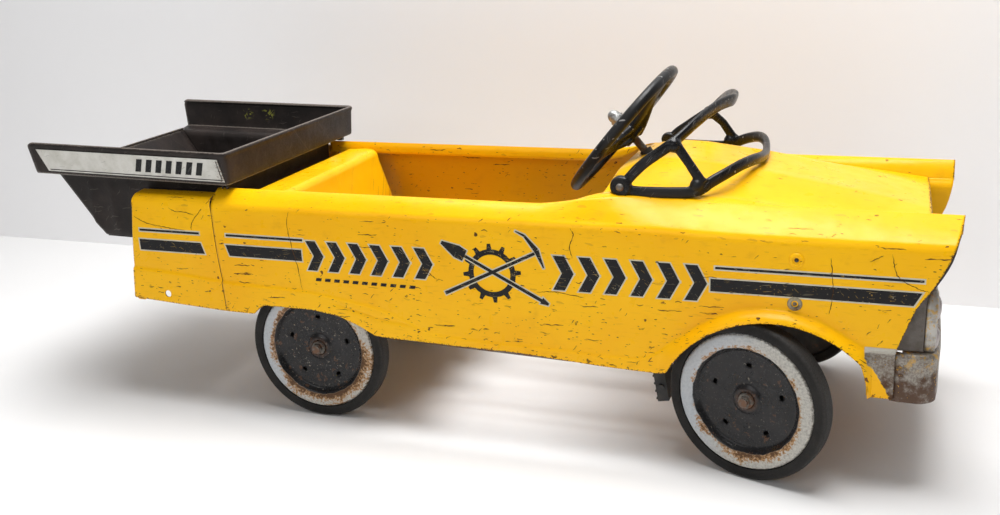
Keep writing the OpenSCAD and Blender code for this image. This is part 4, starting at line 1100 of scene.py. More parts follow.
def hood():
    front = NOSE_X - 4
    rows = [hood_row(COWL_X, *by) for by in ((7.5, -1.0), (4.0, -1.9), (1.6, -1.6), (0.3, -0.7))]
    rows += [hood_row(x) for x in np.linspace(COWL_X + 1, front, 96)]
    rows += [hood_row(front, *by) for by in ((0.9, 1.8), (3, 3), (6, 3.6))]
    foot = hood_row(front, 0, 4)
    rows += [[(p[0], p[1], mix(q[2], HOOD_LOW_Z * MM, t)) for p, q in zip(foot, rows[-1])] for t in (0.5, 1.0)]
    piece = grid_piece("hood_sheet", rows, (0, 0, 1), sharp=40)
    bottom, along = column()
    punch(piece, bottom + along * (COLUMN_TO_HOOD * MM), along, COLUMN_HOLE_R * MM, 0.03)
    wear = []
    for v in piece.data.vertices:
        x = v.co.x / MM - ROW_X
        wear.append(max(exp(-(x - COWL_X + 2) / 4), 0.9 * exp(-max(0, NOSE_X - 3 - x) / 5)))
    set_wear(piece, wear)
    return dress_sheet(piece, "hood")


def column():
    """The steering column's lower end and direction."""
    foot = place(WHEELBASE - STEER_ARM + STEER_ARM * sin(COLUMN_SLOPE), 0, 80 + STEER_ARM * cos(COLUMN_SLOPE))
    return Vector(foot), Vector((-cos(COLUMN_SLOPE), 0, sin(COLUMN_SLOPE)))


def seat():
    """Back, pan and lip in one pressing; the ends of the back curve away from the driver."""
    pan, half, r = 152.0, 155.0, 22.0
    path = [(-99, 291), (-99.2, 297)] + arc(-95, 301, 4.2, 190, 98, 4)
    path += [(-84, 305.6), (-68, 306.8)] + arc(-50.5, 296.6, 11.5, 98, 12, 7)
    path += [(mix(-38, -20, k / 5), mix(292, 238, k / 5)) for k in range(6)]
    path += arc(8, pan + 30, 30, 172, 270, 9)
    path += [(mix(12, 150, k / 14), pan) for k in range(15)]
    path += arc(154, pan - 6, 6, 86, 4, 4) + [(160, pan - 7.6)]
    ends = [half - r + r * sin(radians(a)) for a in (12, 24, 36, 48, 60, 72, 80, 87)]
    ys = [-y for y in reversed(ends)] + list(np.linspace(-half + r, half - r, 40)) + ends
    grid = []
    for x, z in path:
        face = smooth((x + 62) / 14) * smooth((z - pan - 4) / 30)
        line = []
        for y in ys:
            over = max(0.0, abs(y) - (half - r)) / r
            inset = r * (1 - sqrt(max(0.0, 1 - min(1, over) ** 2)))
            wave = 0.25 * sin(y / 9.5) * face
            line.append(place(x - inset * 0.9 * face + wave, y, z - inset * 0.12 * face))
        grid.append(line)
    # The pan's rear corners are cut out beside the chassis
    notch = set()
    for i, (a, b) in enumerate(zip(path, path[1:])):
        x, z = (a[0] + b[0]) / 2, (a[1] + b[1]) / 2
        if z < 204 and x < 106:
            notch |= {(i, j) for j in range(len(ys) - 1) if abs((ys[j] + ys[j + 1]) / 2) > 139}
    piece = grid_piece("seat_sheet", grid, (0.5, 0, 1), sharp=40, skip=notch)
    set_wear(piece, [0.3 if v.co.z > 0.302 else 0.05 for v in piece.data.vertices])
    return dress_sheet(piece, "seat")


# Dump bed

def ring_path(half, front, rear, radius, n=46, corner=8):
    """A U open to the rear: along the right side, round the front and back along the left."""
    pts = [(mix(rear, front - radius, k / n), -half) for k in range(n)]
    pts += [(front - radius + radius * sin(a), -half + radius - radius * cos(a))
            for a in (pi / 2 * k / corner for k in range(corner + 1))]
    pts += [(front, mix(-half + radius, half - radius, k / 40)) for k in range(1, 40)]
    return pts + [(x, -y) for x, y in reversed(pts[:n + corner + 1])]


def bed_rear(z):
    """The rear edge of the bed's sides: up the sloping tail, then round the rim's corner."""
    r = 9
    if z > BED_TOP - r:
        return BED_REAR + r - sqrt(max(0, r * r - (z - BED_TOP + r) ** 2))
    return lookup(z, [(FLOOR_Z, -339.5), (LEDGE_Z - 3.5, -407.5), (LEDGE_Z - 1, -415.5), (BED_TOP - r, BED_REAR)])


def bed_rings():
    """(half-width, front, z, corner radius) from the rim's inner lip, over it and down to the floor."""
    rings = [(179.9, -108.2, 368.2, 4), (180.2, -108.0, 370.2, 4), (181.4, -106.8, 371.7, 5),
             (183.4, -104.8, 372.4, 6), (185.0, -103.0, 371.7, 7), (185.9, -102.0, 369.8, 8),
             (185.8, -102.0, 367.6, 8), (185.0, -102.8, 365.6, 8)]
    rings += [(mix(184.2, 180.6, k / 6), -103.0, mix(363, 331, k / 6), 8) for k in range(7)]
    rings += [(180.0, -103.4, 328.8, 8), (178.8, -104.8, 327.6, 7), (175, -108, 327.0, 7), (165, -117, 326.1, 6),
              (156, -125.0, 325.2, 6), (152.6, -127.6, 324.3, 6), (150.4, -129.0, 321.8, 6)]
    rings += [(mix(149.4, 146.2, k / 14), -129.3, mix(318, 240, k / 14), 7) for k in range(15)]
    return rings + [(145.6, -130.0, 235.5, 7), (144.4, -131.0, 233.2, 7), (142, -133, 232.6, 7)]


def bed_sheet():
    grid, wear = [], []
    for half, front, z, radius in bed_rings():
        line = []
        for x, y in ring_path(half, front, bed_rear(z), radius):
            if 238 < z < 320 and abs(y) > 140:
                rib = sum(exp(-((x - at) / 4.2) ** 2) for at in (-352, -318, -284, -250, -216, -182, -150))
                y += copysign(2.4 * rib * smooth((318 - z) / 10) * smooth((z - 238) / 10), y)
            line.append(place(x, y, z))
            wear.append(1.0 if 370 < z or 327 < z < 330 else exp(-(x - bed_rear(z)) / 3) * 0.9)
        grid.append(line)
    sheet = grid_piece("bed_sheet", grid, sharp=50)
    set_wear_by_place(sheet, grid, wear)
    if sheet.data.polygons[len(grid[0]) * 10 + 3].normal.y > 0:
        sheet.data.flip_normals()
    return thicken(sheet, SHEET_T * MM)


def bed_ear(side):
    """One of the two plates under the bed that the hinge rod runs through."""
    shape = [(-276, 233), (-276, 219), (-274, 215.5), (-270, 213.8), (-266, 213.8), (-262, 215.5), (-260, 219),
             (-260, 233)]
    verts = [place(x, side * 96 + d, z) for d in (-1.4, 1.4) for x, z in shape]
    walls = [(k, k + 8, (k + 1) % 8 + 8, (k + 1) % 8) for k in range(8)]
    ear = mesh_object("bed_ear_" + hand(side), verts, [tuple(range(8)), tuple(range(15, 7, -1))] + walls)
    return soften(outward(ear), 0.5 * MM)


def dump_bed():
    """The bed's sheet, floor, sloping tail, legs and hinge ears, drawn level and then tipped to their place."""
    sheet = bed_sheet()
    grid = [[place(x, y, FLOOR_Z + 0.5 - 0.5 * abs(y) / 142) for y in np.linspace(-142, 142, 30)]
            for x in np.linspace(-340, -132, 26)]
    floor = thicken(grid_piece("bed_floor", grid, (0, 0, 1)), SHEET_T * MM)
    line = [(-339.8, FLOOR_Z + 0.4)]
    line += [(mix(-340.5, -406, k / 16), mix(FLOOR_Z + 1.5, LEDGE_Z - 1.0, k / 16)) for k in range(17)]
    line += [(-407.2, LEDGE_Z + 0.6), (-407.0, LEDGE_Z + 2.4), (-405.2, LEDGE_Z + 3.0), (-403.4, LEDGE_Z + 2.2)]
    grid = []
    for x, z in line:
        half = lookup(z, [(FLOOR_Z, 143.0), (318, 147.6), (332, 148.2)])
        grid.append([place(x, y, z) for y in np.linspace(-half, half, 30)])
    tail = thicken(grid_piece("bed_tail", grid, (-1, 0, -0.3)), SHEET_T * MM)
    for part in (floor, tail):
        set_wear(part, [0.0 if v.co.z < 0.322 else 0.9 for v in part.data.vertices])
    parts = [sheet, floor, tail]
    foot = RIM_Z + 0.5 + (-114 - HINGE[0]) * sin(BED_PITCH)
    for side in (-1, 1):
        at = (-118, side * mix(RIM_Y, 180, 0.3))
        pair = [channel("bed_leg_" + hand(side), at, 8, 8, foot, LEDGE_Z - 1.6, side), bed_ear(side)]
        for part in pair:
            set_wear(part, [0.2] * len(part.data.vertices))
        parts += pair
    for part in parts:
        part.data.transform(cad_pitch())
        dress(part, "dump_bed", "black_enamel", "bed")
    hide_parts("dump_bed")


def inside(corners, s, t):
    """The point of a quad that lies s of the way along its first side and t across."""
    a, b, c, d = corners
    return [mix(mix(a[k], b[k], s), mix(d[k], c[k], s), t) for k in (0, 1)]


def channel(name, at, width, depth, low, high, side):
    """An upright U of folded sheet, open away from the middle of the car."""
    x, y = at
    w, d = width / 2, depth / 2
    plan = [(-w, d), (-w, -d + 1), (-w + 1, -d), (w - 1, -d), (w, -d + 1), (w, d)]
    grid = [[place(x + a, y + side * b, z) for a, b in plan] for z in np.linspace(low, high, 6)]
    return thicken(grid_piece(name, grid, (0, -side, 0), sharp=30), 1.4 * MM)


def plate_trim():
    """A thin dark border and slanted bars on the bed's pale plates."""
    lean = 6 / 42.0
    level = (PLATE_TOP + LEDGE_Z) / 2
    strips = [[(-389.5, -14.1), (-110.5, -14.1), (-110.4, -12.9), (-390.6, -12.9)],
              [(-110.5, -14.1), (-109.2, -14.1), (-114.4, 12.9), (-115.7, 12.9)]]
    for x in range(-246, -149, 16):
        strips.append([(x, -8.5), (x + 9, -8.5), (x + 15, 9.5), (x + 6, 9.5)])
    for side in (-1, 1):
        verts, faces = [], []
        for corners in strips:
            faces += grid_quads(9, 3, start=len(verts))
            spots = [inside(corners, i / 8, j / 2) for i in range(9) for j in range(3)]
            verts += [place(x, side * (184.15 + v * lean), level + v) for x, v in spots]
        piece = facing(mesh_object("plate_trim_" + hand(side), verts, faces), (0, side, 0))
        piece.data.transform(cad_pitch())
        dress(piece, "dump_bed", "black_enamel", "plate_ink")


# Wheels, in their own coordinates with the outer face towards +Y

def left_or_right(side):
    """The half turn that makes a piece drawn for the left side look right."""
    return Matrix.Rotation(pi, 4, "Z") if side < 0 else Matrix.Identity(4)


def wheel_matrix(front, side):
    if not front:
        return Matrix.Translation(place(0, side * REAR_WHEEL_Y, WHEEL_R)) @ left_or_right(side)
    kingpin = Matrix.Translation(place(WHEELBASE, side * KINGPIN_Y, WHEEL_R)) @ Matrix.Rotation(-STEER_REST, 4, "Z")
    return kingpin @ Matrix.Translation((0, side * STUB_REACH * MM, 0)) @ left_or_right(side)


def turned(name, profile, steps, matrix, skip=()):
    """A revolved piece in millimetres that looks along its own +Y, put in place by its object's matrix."""
    piece = facing(revolve(name, [(r * MM, y * MM) for r, y in profile], steps, skip), (0, 1, 0))
    piece.matrix_world = matrix
    return piece


def wheel(tag, body, front, side, rust, seed):
    """A pressed disc with five slots between its hub and its dish, and a solid tyre."""
    m = wheel_matrix(front, side)
    half = TYRE_W / 2
    face, low = half + 0.5, half + 0.5 - 9
    slot_r = 42
    profile = [(r, low + y) for r, y in (
        (9.6, 2.2), (12, 2.3), (14.6, 2), (16.4, 0.9), (18.4, -0.5), (20.6, -1), (26, -1.1), (31.5, -1), (34, -0.7),
        (36, -0.2), (38.5, 0), (slot_r, 0), (46, 0), (52, 0), (57, 0.1), (60, 0.6), (61.8, 1.8), (63.2, 3.8),
        (64.4, 5.4))]
    profile += [(r, face - y) for r, y in (
        (65.8, 2.6), (67.2, 1.6), (69.2, 0.9), (72, 0.45), (76, 0.15), (79.6, 0), (81.6, 0.2), (83.2, 1.3),
        (84.2, 2.9))]
    profile.append((DISC_R, half - 4))
    steps = 120
    gap_at = next(k for k, p in enumerate(profile) if p[0] == slot_r)
    skip = {((k * 24 + i + 5) % steps, gap_at) for k in range(5) for i in range(3)}
    disc = thicken(turned("wheel_disc_" + tag, profile, steps, m, skip), SHEET_T * MM)
    dress(disc, body, "wheel_enamel", wheel_enamel("wheel_paint_" + tag, rust, seed), instead_of="disc_" + tag)

    rim, curve = DISC_R + 0.5, 4.4
    rubber = [(80.6, -half + 4), (rim, -half + 4), (rim, -half + 0.7), (86.5, -half + 0.25), (90, -half),
              (94, -half + 0.2)]
    rubber += [(WHEEL_R - curve + curve * sin(a), -half + 4.6 - curve * cos(a))
               for a in (pi / 2 * k / 6 for k in range(1, 7))]
    rubber += [(WHEEL_R, -half + 7), (WHEEL_R - 0.1, -3), (WHEEL_R - 0.1, 3)]
    rubber += [(r, -y) for r, y in reversed(rubber[:-2])]
    tyre = outward_open(turned("wheel_tyre_" + tag, rubber, 144, m))
    dress(tyre, body, "tyre_rubber", "tyre", instead_of="tyre_" + tag)


def outward_open(tyre):
    """Turns a tyre's faces so that its tread looks away from the axle."""
    total = 0.0
    for p in tyre.data.polygons:
        c = p.center
        if hypot(c.x, c.z) > TREAD_R * MM:
            total += (p.normal.x * c.x + p.normal.z * c.z) * p.area
    if total < 0:
        tyre.data.flip_normals()
    return tyre


# Steering wheel and windshield

HUB_X = 4
FOOT_X, FOOT_Z = 418, 338.2
FROM_AXLE = Matrix.Translation((ROW_X * MM, 0, 0))


def wheel_hub():
    """The steering wheel's own frame: its axis is local Z."""
    tilt = Matrix.Translation(place(*WHEEL_AT)) @ Matrix.Rotation(-WHEEL_TILT, 4, "Y")
    return tilt @ Matrix.Translation((0, 0, -6 * MM))


def steering_wheel():
    r = WHEEL_RIM_R - 7
    ring = [(r * cos(a), r * sin(a), 6) for a in (2 * pi * k / 120 for k in range(121))]
    hub = [(HUB_X, 0, z) for z in (-14, -13, -9, -4, 0, 3, 6, 9, 11.6, 13, 13.6)]
    girth = [34, 37, 39, 46, 52, 52, 48, 40, 32, 26, 22]
    parts = [sweep(ring, 14.8, 14.4, (0, 0, 1), 20), sweep(hub, girth, girth, (1, 0, 0), 36)]
    for a in (90, -90, 0):
        a = radians(a) - STEER_REST

        def at(d, z):
            return HUB_X * (1 - d / 90) + d * cos(a), d * sin(a), z

        line = [at(d, mix(-2.5, 4.5, smooth(d / 92))) for d in (6, 14, 24, 36, 50, 64, 76, 85, 92)]
        parts.append(sweep(line, lambda t: np.interp(t, [0, 0.15, 0.35, 0.6, 0.85, 1], [46, 44, 33, 29, 33, 46]),
                           (13, 10), (0, 0, 1), 18, 2.8))
        web = [at(d, z) for d, z in ((8, -9), (20, -8), (34, -5.5), (50, -2), (68, 1.5))]
        parts.append(sweep(web, (11, 7), (16, 8), (0, 0, 1), 12))
    piece = fuse("steering_wheel_skin", parts, 1.3, 5)
    piece.matrix_world = wheel_hub()
    return dress(piece, "steering", "black_plastic", "black", instead_of="steering_wheel")


def dome_nut():
    """The cap nut on the column's end: a hexagon under a dome."""
    # (height, radius, share of the hexagon in the outline)
    rings = [(13.2, 9.7, 0), (14.4, 9.9, 0), (15.0, 9.4, 1), (21.6, 9.4, 1), (22.6, 8.9, 0.7), (23.2, 8.4, 0),
             (26.5, 8.35, 0), (29.4, 7.6, 0), (32.0, 6.0, 0), (33.8, 3.8, 0), (34.6, 1.8, 0), (34.8, 0.06, 0)]
    grid = []
    for k in range(60):
        a = 2 * pi * k / 60
        flat = cos(pi / 6) / cos((a + pi / 6) % (pi / 3) - pi / 6) * 1.1
        line = []
        for z, r, share in rings:
            r *= mix(1, flat, share)
            line.append((r * cos(a) * MM, r * sin(a) * MM, z * MM))
        grid.append(line)
    piece = grid_piece("dome_nut", grid, wrap_i=True, sharp=24)
    turn_faces(piece, lambda middle: middle - Vector((0, 0, 14 * MM)))
    piece.matrix_world = wheel_hub() @ Matrix.Translation((HUB_X * MM, 0, 0))
    return dress(piece, "steering", "plated_steel", "plated", instead_of="acorn_nut")


def column_skin():
    """The column: a bent rod, with the crank arm and pin at its foot."""
    foot, along = np.array((581.0, 0, 103.2)), np.array((-cos(COLUMN_SLOPE), 0, sin(COLUMN_SLOPE)))
    top = FROM_AXLE.inverted() @ (wheel_hub() @ Vector((HUB_X * MM, 0, 0)))
    bends = [foot + along * t for t in (-3, 60, 130, 190, 240)]
    bends += [(428, 0, 336), (403, 0, 366), tuple(c / MM for c in top)]
    turn = Matrix.Translation(tuple(foot)) @ Matrix.Rotation(COLUMN_SLOPE - pi / 2, 4, "Y")
    turn = turn @ Matrix.Rotation(-STEER_REST, 4, "Z")
    arm = [turn @ Vector((x, 0, 7)) for x in (5, 3.5, 0, -20, -42, -46, -48)]
    pin = [turn @ Vector((-42, 0, z)) for z in (-12, -4, 4, 8)]
    x_axis, z_axis = (turn.to_3x3() @ Vector(v) for v in ((1, 0, 0), (0, 0, 1)))
    parts = [sweep(spline(bends, 6), 10.4, 10.4, (0, 1, 0), 20),
             sweep(arm, lambda t: np.interp(t, [0, 0.16, 0.33, 0.66, 0.83, 1], [7, 10.5, 12, 12, 10, 6]), 6,
                   z_axis, 16, 4),
             sweep(pin, 8, 8, x_axis, 18)]
    piece = fuse("column_rod", parts, 1.1, 2, FROM_AXLE)
    return dress(piece, "steering", "rusty_steel", "rust", instead_of="steering_column")


def ball(x, y, z, r):
    """A ball for a fused skin."""
    steps = [-0.97, -0.8, -0.4, 0, 0.4, 0.8, 0.97]
    girth = [2 * r * sqrt(1 - t * t) for t in steps]
    return sweep([(x, y + t * r, z) for t in steps], girth, girth, (0, 0, 1), 20)


def windshield():
    """The lower rail, the arched top rail with its far half leaning down, two posts and a boss at each end."""
    corner = (418, -143, 335)
    lower = [corner, (434, -142, 332), (455, -140.5, 331.5), (480, -138, 331.5), (499, -135, 332.5),
             (512, -130, 336.5), (521, -122, 342.5), (535.8, -108, 350), (550.3, -86, 356), (561, -60, 357),
             (566.5, -32, 354), (568.5, 0, 351.5)]
    upper = [corner, (431, -142, 352), (446.2, -140, 366.9), (466, -134, 381.1), (479, -126, 390.3),
             (497, -96, 406.5), (509.5, -64, 416), (520, -36, 420.5), (526.5, -16, 421), (527.5, 0, 419.5)]
    lower += [(x, -y, z) for x, y, z in reversed(lower[:-1])]
    upper += [(x, -y, z - lean) for (x, y, z), lean in zip(reversed(upper[:-1]), (1, 2, 4, 6, 8, 8, 8, 4, 0))]
    parts = [sweep(spline(lower, 5), 9.0, 14.2, (0, 0, 1), 18, 2.6),
             sweep(spline(upper, 6), 8.2,
                   lambda t: np.interp(abs(t - 0.5), [0, 0.2, 0.32, 0.5], [17.6, 17.0, 14, 12.5]),
                   (0.35, 0, 1), 18, 2.6)]
    for side, lean, big in ((-1, 0, 25.6), (1, 7, 19.0)):
        post = [(480, 128.0, 387 - lean), (481.6, 128.2, 385.3 - lean), (496, 130, 366), (509.4, 131, 346.6),
                (512, 131, 343)]
        parts += [sweep([(x, side * y, z) for x, y, z in post], 8.4,
                        lambda t: np.interp(t, [0, 0.2, 0.5, 0.8, 1], [16, 12.5, 11.2, 12.5, 16]),
                        (1, 0, 0), 18, 2.6),
                  ball(478, side * 128.5, 386.5 - lean, 9.4), ball(506, side * 131.5, 340.5, 8.6)]
        boss = [(FOOT_X, side * (143 + d), FOOT_Z) for d in (-6.5, -5.6, -3, 2.5, 5.4, 6.4)]
        girth = [big * share for share in (0.82, 0.95, 1, 1, 0.95, 0.84)]
        parts.append(sweep(boss, girth, girth, (0, 0, 1), 28))
    piece = fuse("windshield_skin", parts, 1.15, 6, FROM_AXLE)
    dress(piece, "body", "black_plastic", "black", instead_of="windshield_frame")
    head = [(4.8, -6), (4.8, 0), (4.7, 1.2), (4.0, 2.4), (2.6, 3.2), (1.2, 3.5), (0.05, 3.6)]
    for side in (-1, 1):
        at = Matrix.Translation(place(FOOT_X, side * 148.8, FOOT_Z)) @ left_or_right(side)
        screw = turned("windshield_screw_" + hand(side), head, 32, at)
        dress(screw, "body", "rusty_steel", "rust", instead_of="windshield_screws")


# Front face

FRONT_T = 1.2
LAMP_X, LAMP_Y = 764.5, 152.5


def fin_cheek(side):
    """The inner wall of a fin, seen beside the hood's front."""
    front = [(210, 764.8), (222, 768.7), (240, 779), (258, 788), (273, 792.0), (292, 795.3), (301, 796.2)]
    grid = []
    for t in np.linspace(0, 1, 13):
        line = []
        for z in (212, 222, 232, 242, 252, 262, 272, 280, 287, 292, 295, 297.5, 299.2):
            y = mix(121, 126.5, smooth((z - 290) / 9))
            line.append(place(mix(757, lookup(z, front), t), side * y, z))
        grid.append(line)
    # Its back and cut edge, in the hollow behind the fin's outer skin, get the near-black chassis paint: bare primer
    # there, and partly painted shade
    piece = thicken(grid_piece("fin_cheek_" + hand(side), grid, (0, -side, 0)), FRONT_T * MM, 2, 2)
    return dress(piece, "body", "yellow_enamel", "yellow", "rim", "dark")


def grille_skin():
    """The dark ribbed sheet between the fins."""
    half = 176.0
    right = [-half, -half + 1.2, -half + 3, *np.linspace(-half + 8, -124, 8), -119, -116, -112]
    ys = right + list(np.linspace(-104, 104, 27)) + [-y for y in reversed(right)]
    levels = [262 - 15.2 * k for k in range(6)]
    grid = []
    for z in np.linspace(174, 289, 93):
        x = lookup(z, [(174, 764), (252, 764), (270, 765), (289, 766)])
        rib = max(exp(-((z - level) / 2.6) ** 2) for level in levels)
        row = []
        for y in ys:
            end = smooth((118 - abs(y)) / 6)
            row.append(place(x - (0.9 if abs(y) > half - 1 else 0) + 2.4 * rib * end, y, z))
        back = ((728, half + 3), (741, half + 1), (752, half))
        grid.append([place(x, -y, z) for x, y in back] + row + [place(x, y, z) for x, y in reversed(back)])
    piece = thicken(grid_piece("grille_sheet", grid, (1, 0, 0), sharp=50), FRONT_T * MM)
    return dress(piece, "body", "silver_paint", "grille", instead_of="grille")


def lamp_pods():
    """On each side a silver pod with two plain domed lamps."""
    dome = [(18.9, 6.5), (18.7, 8.6), (17.6, 10.4), (16.4, 10.6), (15.6, 9.9), (14.6, 11.0), (11.5, 13.3),
            (7.8, 14.8), (3.8, 15.5), (0.05, 15.7)]
    for side in (-1, 1):
        grid = []
        for x, d in ((11.5, 12), (11.5, 3.8), (10.6, 1.8), (8.5, 0.6), (4, 0.0), (0, 0.0)):
            r = 22.5 - d
            line = [(LAMP_Y + r * cos(radians(a)), middle + r * sin(radians(a)))
                    for middle, start in ((217.5, 0), (185.5, 180)) for a in np.linspace(start, start + 180, 22)]
            grid.append([place(LAMP_X + x, side * y, z) for y, z in line])
        pod = thicken(grid_piece("lamp_pod_" + hand(side), grid, (1, 0, 0), wrap_j=True, sharp=40), FRONT_T * MM)
        dress(pod, "body", "silver_paint", "silver", instead_of="headlamps")
        for level, z in (("upper_", 218.5), ("lower_", 184.0)):
            at = Matrix.Translation(place(LAMP_X, side * LAMP_Y, z)) @ Matrix.Rotation(-pi / 2, 4, "Z")
            dress(turned("lamp_" + level + hand(side), dome, 64, at), "body", "silver_paint", "lamp")


# Bumper, eyelets and prints

def bumper():
    """A silver pressing round the front; its ends and its top edge run on behind the panels."""
    half, edge = SIDE_Y - 1, NOSE_X + 19

    def plan(d):
        """The outline d inside the outermost one, from the right end round to the left."""
        right = arc(edge - 28, -half + 24, 24 - d, -90, -20, 12)
        front = [right[-1], (edge - 2 - d, -120), (edge - d, 0), (edge - 2 - d, 120), (right[-1][0], -right[-1][1])]
        end = [(TIP_X - 65, -half + d + 2.2), (TIP_X - 60.4, -half + d + 1.4), (TIP_X - 57, -half + d)] + right
        return end + [tuple(p) for p in spline(front, 12)][1:-1] + [(x, -y) for x, y in reversed(end)]

    rings = [(2.4, 115.2), (1.7, 114.2), (0.8, 114.2), (0.2, 115.2), (0.0, 117)]
    rings += [(0.35 * sin(pi * k / 14), mix(118, 165, k / 14)) for k in range(15)]
    rings += [(0.3, 167.6), (1.2, 169.9), (2.8, 171.3), (5.0, 171.8)]
    grid = [[place(x, y, z) for x, y in plan(d)] for d, z in rings]
    last = plan(5.0)
    for t in (0.12, 0.4, 0.7, 1.0):
        grid.append([place(mix(x, min(x, NOSE_X - 24.5), t), y, mix(171.8, 172.0, t)) for x, y in last])
    piece = thicken(grid_piece("bumper_skin", grid, (1, 0, 0.3), sharp=45), 1.6 * MM)
    return dress(piece, "body", "silver_paint", "silver", instead_of="bumper")


def eyelets():
    """Two on each side ahead of the cockpit, the upper one painted over: a rolled ring with a domed core."""
    rim = [(8.4, 0), (8.2, 0.7), (7.4, 1.5), (6.2, 1.9), (5.0, 1.9), (4.2, 1.4), (3.8, 0.7), (3.6, 0.1), (3.4, -0.6)]
    core = [(3.5, -0.5), (3.0, -0.2), (2.0, 0.5), (1.0, 0.8), (0.05, 0.85)]
    x = ARCH_X + 23
    for side in (-1, 1):
        for level, z, slot, paint, middle in (("upper_", 273, "yellow_enamel", "yellow", "dark"),
                                              ("lower_", 222, "plated_steel", "eyelet", "rust")):
            tag = level + hand(side)
            at = Matrix.Translation(place(x, side * (wall_y(x, z) - 0.2), z)) @ left_or_right(side)
            ring, stem = turned("eyelet_" + tag, rim, 48, at), turned("eyelet_core_" + tag, core, 32, at)
            dress(ring, "body", slot, paint, instead_of="side_rivets" if tag == "upper_right" else None)
            dress(stem, "body", "rusty_steel", middle)


def prints(name, quads, side, proud, material, slot):
    """Flat shapes laid on the side sheet; each quad's corners are (x, z)."""
    verts, faces = [], []
    for quad in quads:
        a, b, c, d = quad
        n = max(1, int(max(dist(a, b), dist(d, c)) / 4))
        m = max(1, int(max(dist(a, d), dist(b, c)) / 4))
        faces += grid_quads(n + 1, m + 1, start=len(verts))
        for x, z in (inside(quad, i / n, j / m) for i in range(n + 1) for j in range(m + 1)):
            verts.append(place(x, side * (wall_y(x, z) + proud), z))
    piece = turn_faces(mesh_object(name, verts, faces), lambda middle: (0, side, 0))
    return dress(piece, "body", slot, material)


def grown(quad, d):
    """The quad with its edges moved out by d."""
    out = []
    for k in range(4):
        p, a, b = np.array(quad[k]), np.array(quad[k - 1]), np.array(quad[(k + 1) % 4])
        u, v = (p - a) / max(1e-6, np.linalg.norm(p - a)), (p - b) / max(1e-6, np.linalg.norm(p - b))
        s = abs(u[0] * v[1] - u[1] * v[0])
        out.append(tuple(p + (u + v) * d / max(0.35, s)))
    return out


def box_quad(x0, x1, z0, z1, slant=0.0, back=0.0):
    return [(x0, z0), (x1, z0), (x1 + slant, z1), (x0 + back, z1)]


THIN_STRIPES = [box_quad(-249, -153, 256.8, 259.8), box_quad(-111, 5, 256.8, 259.8), box_quad(537, 759, 256.8, 259.6)]
THICK_STRIPES = [box_quad(-251, -147, 229.8, 245, -5), box_quad(-108, 2, 229.8, 245, 0, -5),
                 box_quad(532, 750, 230, 245, 8)]


def chevrons(x0, x1, z0, z1, count):
    """Plain arrowheads that point forward."""
    quads = []
    pitch = (x1 - x0) / count
    mid, w, tip = (z0 + z1) / 2, pitch * 0.46, pitch * 0.36
    for x in (x0 + k * pitch for k in range(count)):
        quads.append([(x, z0), (x + w, z0), (x + w + tip, mid), (x + tip, mid)])
        quads.append([(x + tip, mid), (x + w + tip, mid), (x + w, z1), (x, z1)])
    return quads


EMBLEM_SCALE = 1.26


def emblem(cx, cz):
    """A gear wheel with a crossed pick and shovel: a plain sign for digging. Returns (gear, tools)."""
    def at(x, z):
        return cx + EMBLEM_SCALE * x, cz + EMBLEM_SCALE * z

    def polar(r, a):
        return at(r * cos(a), r * sin(a))

    def bar(p, q, w0, w1):
        p, q = np.array(at(*p)), np.array(at(*q))
        d = q - p
        n = np.array((-d[1], d[0])) / np.linalg.norm(d)
        return [tuple(p + n * w0 / 2), tuple(p - n * w0 / 2), tuple(q - n * w1 / 2), tuple(q + n * w1 / 2)]

    gear = []
    steps = 36
    for k in range(steps):
        a, b = 2 * pi * k / steps, 2 * pi * (k + 1) / steps
        gear.append([polar(19, a), polar(24.5, a), polar(24.5, b), polar(19, b)])
        if k % 3 == 0:
            gear.append([polar(24.5, a - 0.02), polar(30, a + 0.03), polar(30, b - 0.03), polar(24.5, b + 0.02)])
    pick = [((-50, -24), (44, 23), 4.4, 3.6), ((34, 40), (46, 26), 3.0, 6.5), ((46, 26), (53, 9), 6.5, 1.6),
            ((34, 40), (25, 44), 3.0, 1.2)]
    shovel = [((50, -24), (-30, 17), 4.4, 3.8), ((-28, 16), (-36, 20), 15, 17), ((-36, 20), (-52, 28.5), 17, 4.0),
              ((57, -27.5), (50, -24), 3.0, 9.0)]
    return gear, [bar(*line) for line in pick + shovel]


# (x, z) along each crack of the near side
CRACKS = [
    [(-122, 314), (-136, 301), (-153, 284), (-163, 271), (-164, 262)],
    [(-256, 277), (-239, 269), (-215, 265), (-196, 263), (-175, 261)],
    [(-13, 295), (-16, 277), (-12, 251), (-6, 223), (-3, 189)],
    [(366, 295), (370, 286), (365, 272), (369, 258)],
    [(662, 278), (664, 264), (666, 241), (665, 224), (663, 213)],
    [(725, 286), (728, 273), (732, 262), (742, 255), (755, 249), (765, 247)],
    [(-198, 291), (-187, 287), (-173, 287), (-158, 283)],
    [(323, 212), (337, 214), (352, 214), (367, 212), (382, 210)],
    [(703, 276), (711, 281), (716, 284)],
    [(175, 232), (184, 225), (192, 219)],
]


def cracks():
    """Hairline breaks in the near side's enamel, each a thin dark ribbon."""
    rng = random.Random(7)
    for n, path in enumerate(CRACKS):
        line = spline(path, 7)
        edges = []
        for k, q in enumerate(line):
            t = line[min(len(line) - 1, k + 1)] - line[max(0, k - 1)]
            across = np.array((-t[1], t[0])) / np.linalg.norm(t)
            w = rng.uniform(0.22, 0.6) * min(1, 0.25 + 4 * min(k, len(line) - 1 - k) / len(line))
            q = q + across * rng.uniform(-0.5, 0.5)
            edges.append((q + across * w, q - across * w))
        quads = [[tuple(a[0]), tuple(a[1]), tuple(b[1]), tuple(b[0])] for a, b in zip(edges, edges[1:])]
        prints("crack_%d" % (n + 1), quads, -1, 0.28, "crack", "rusty_steel")


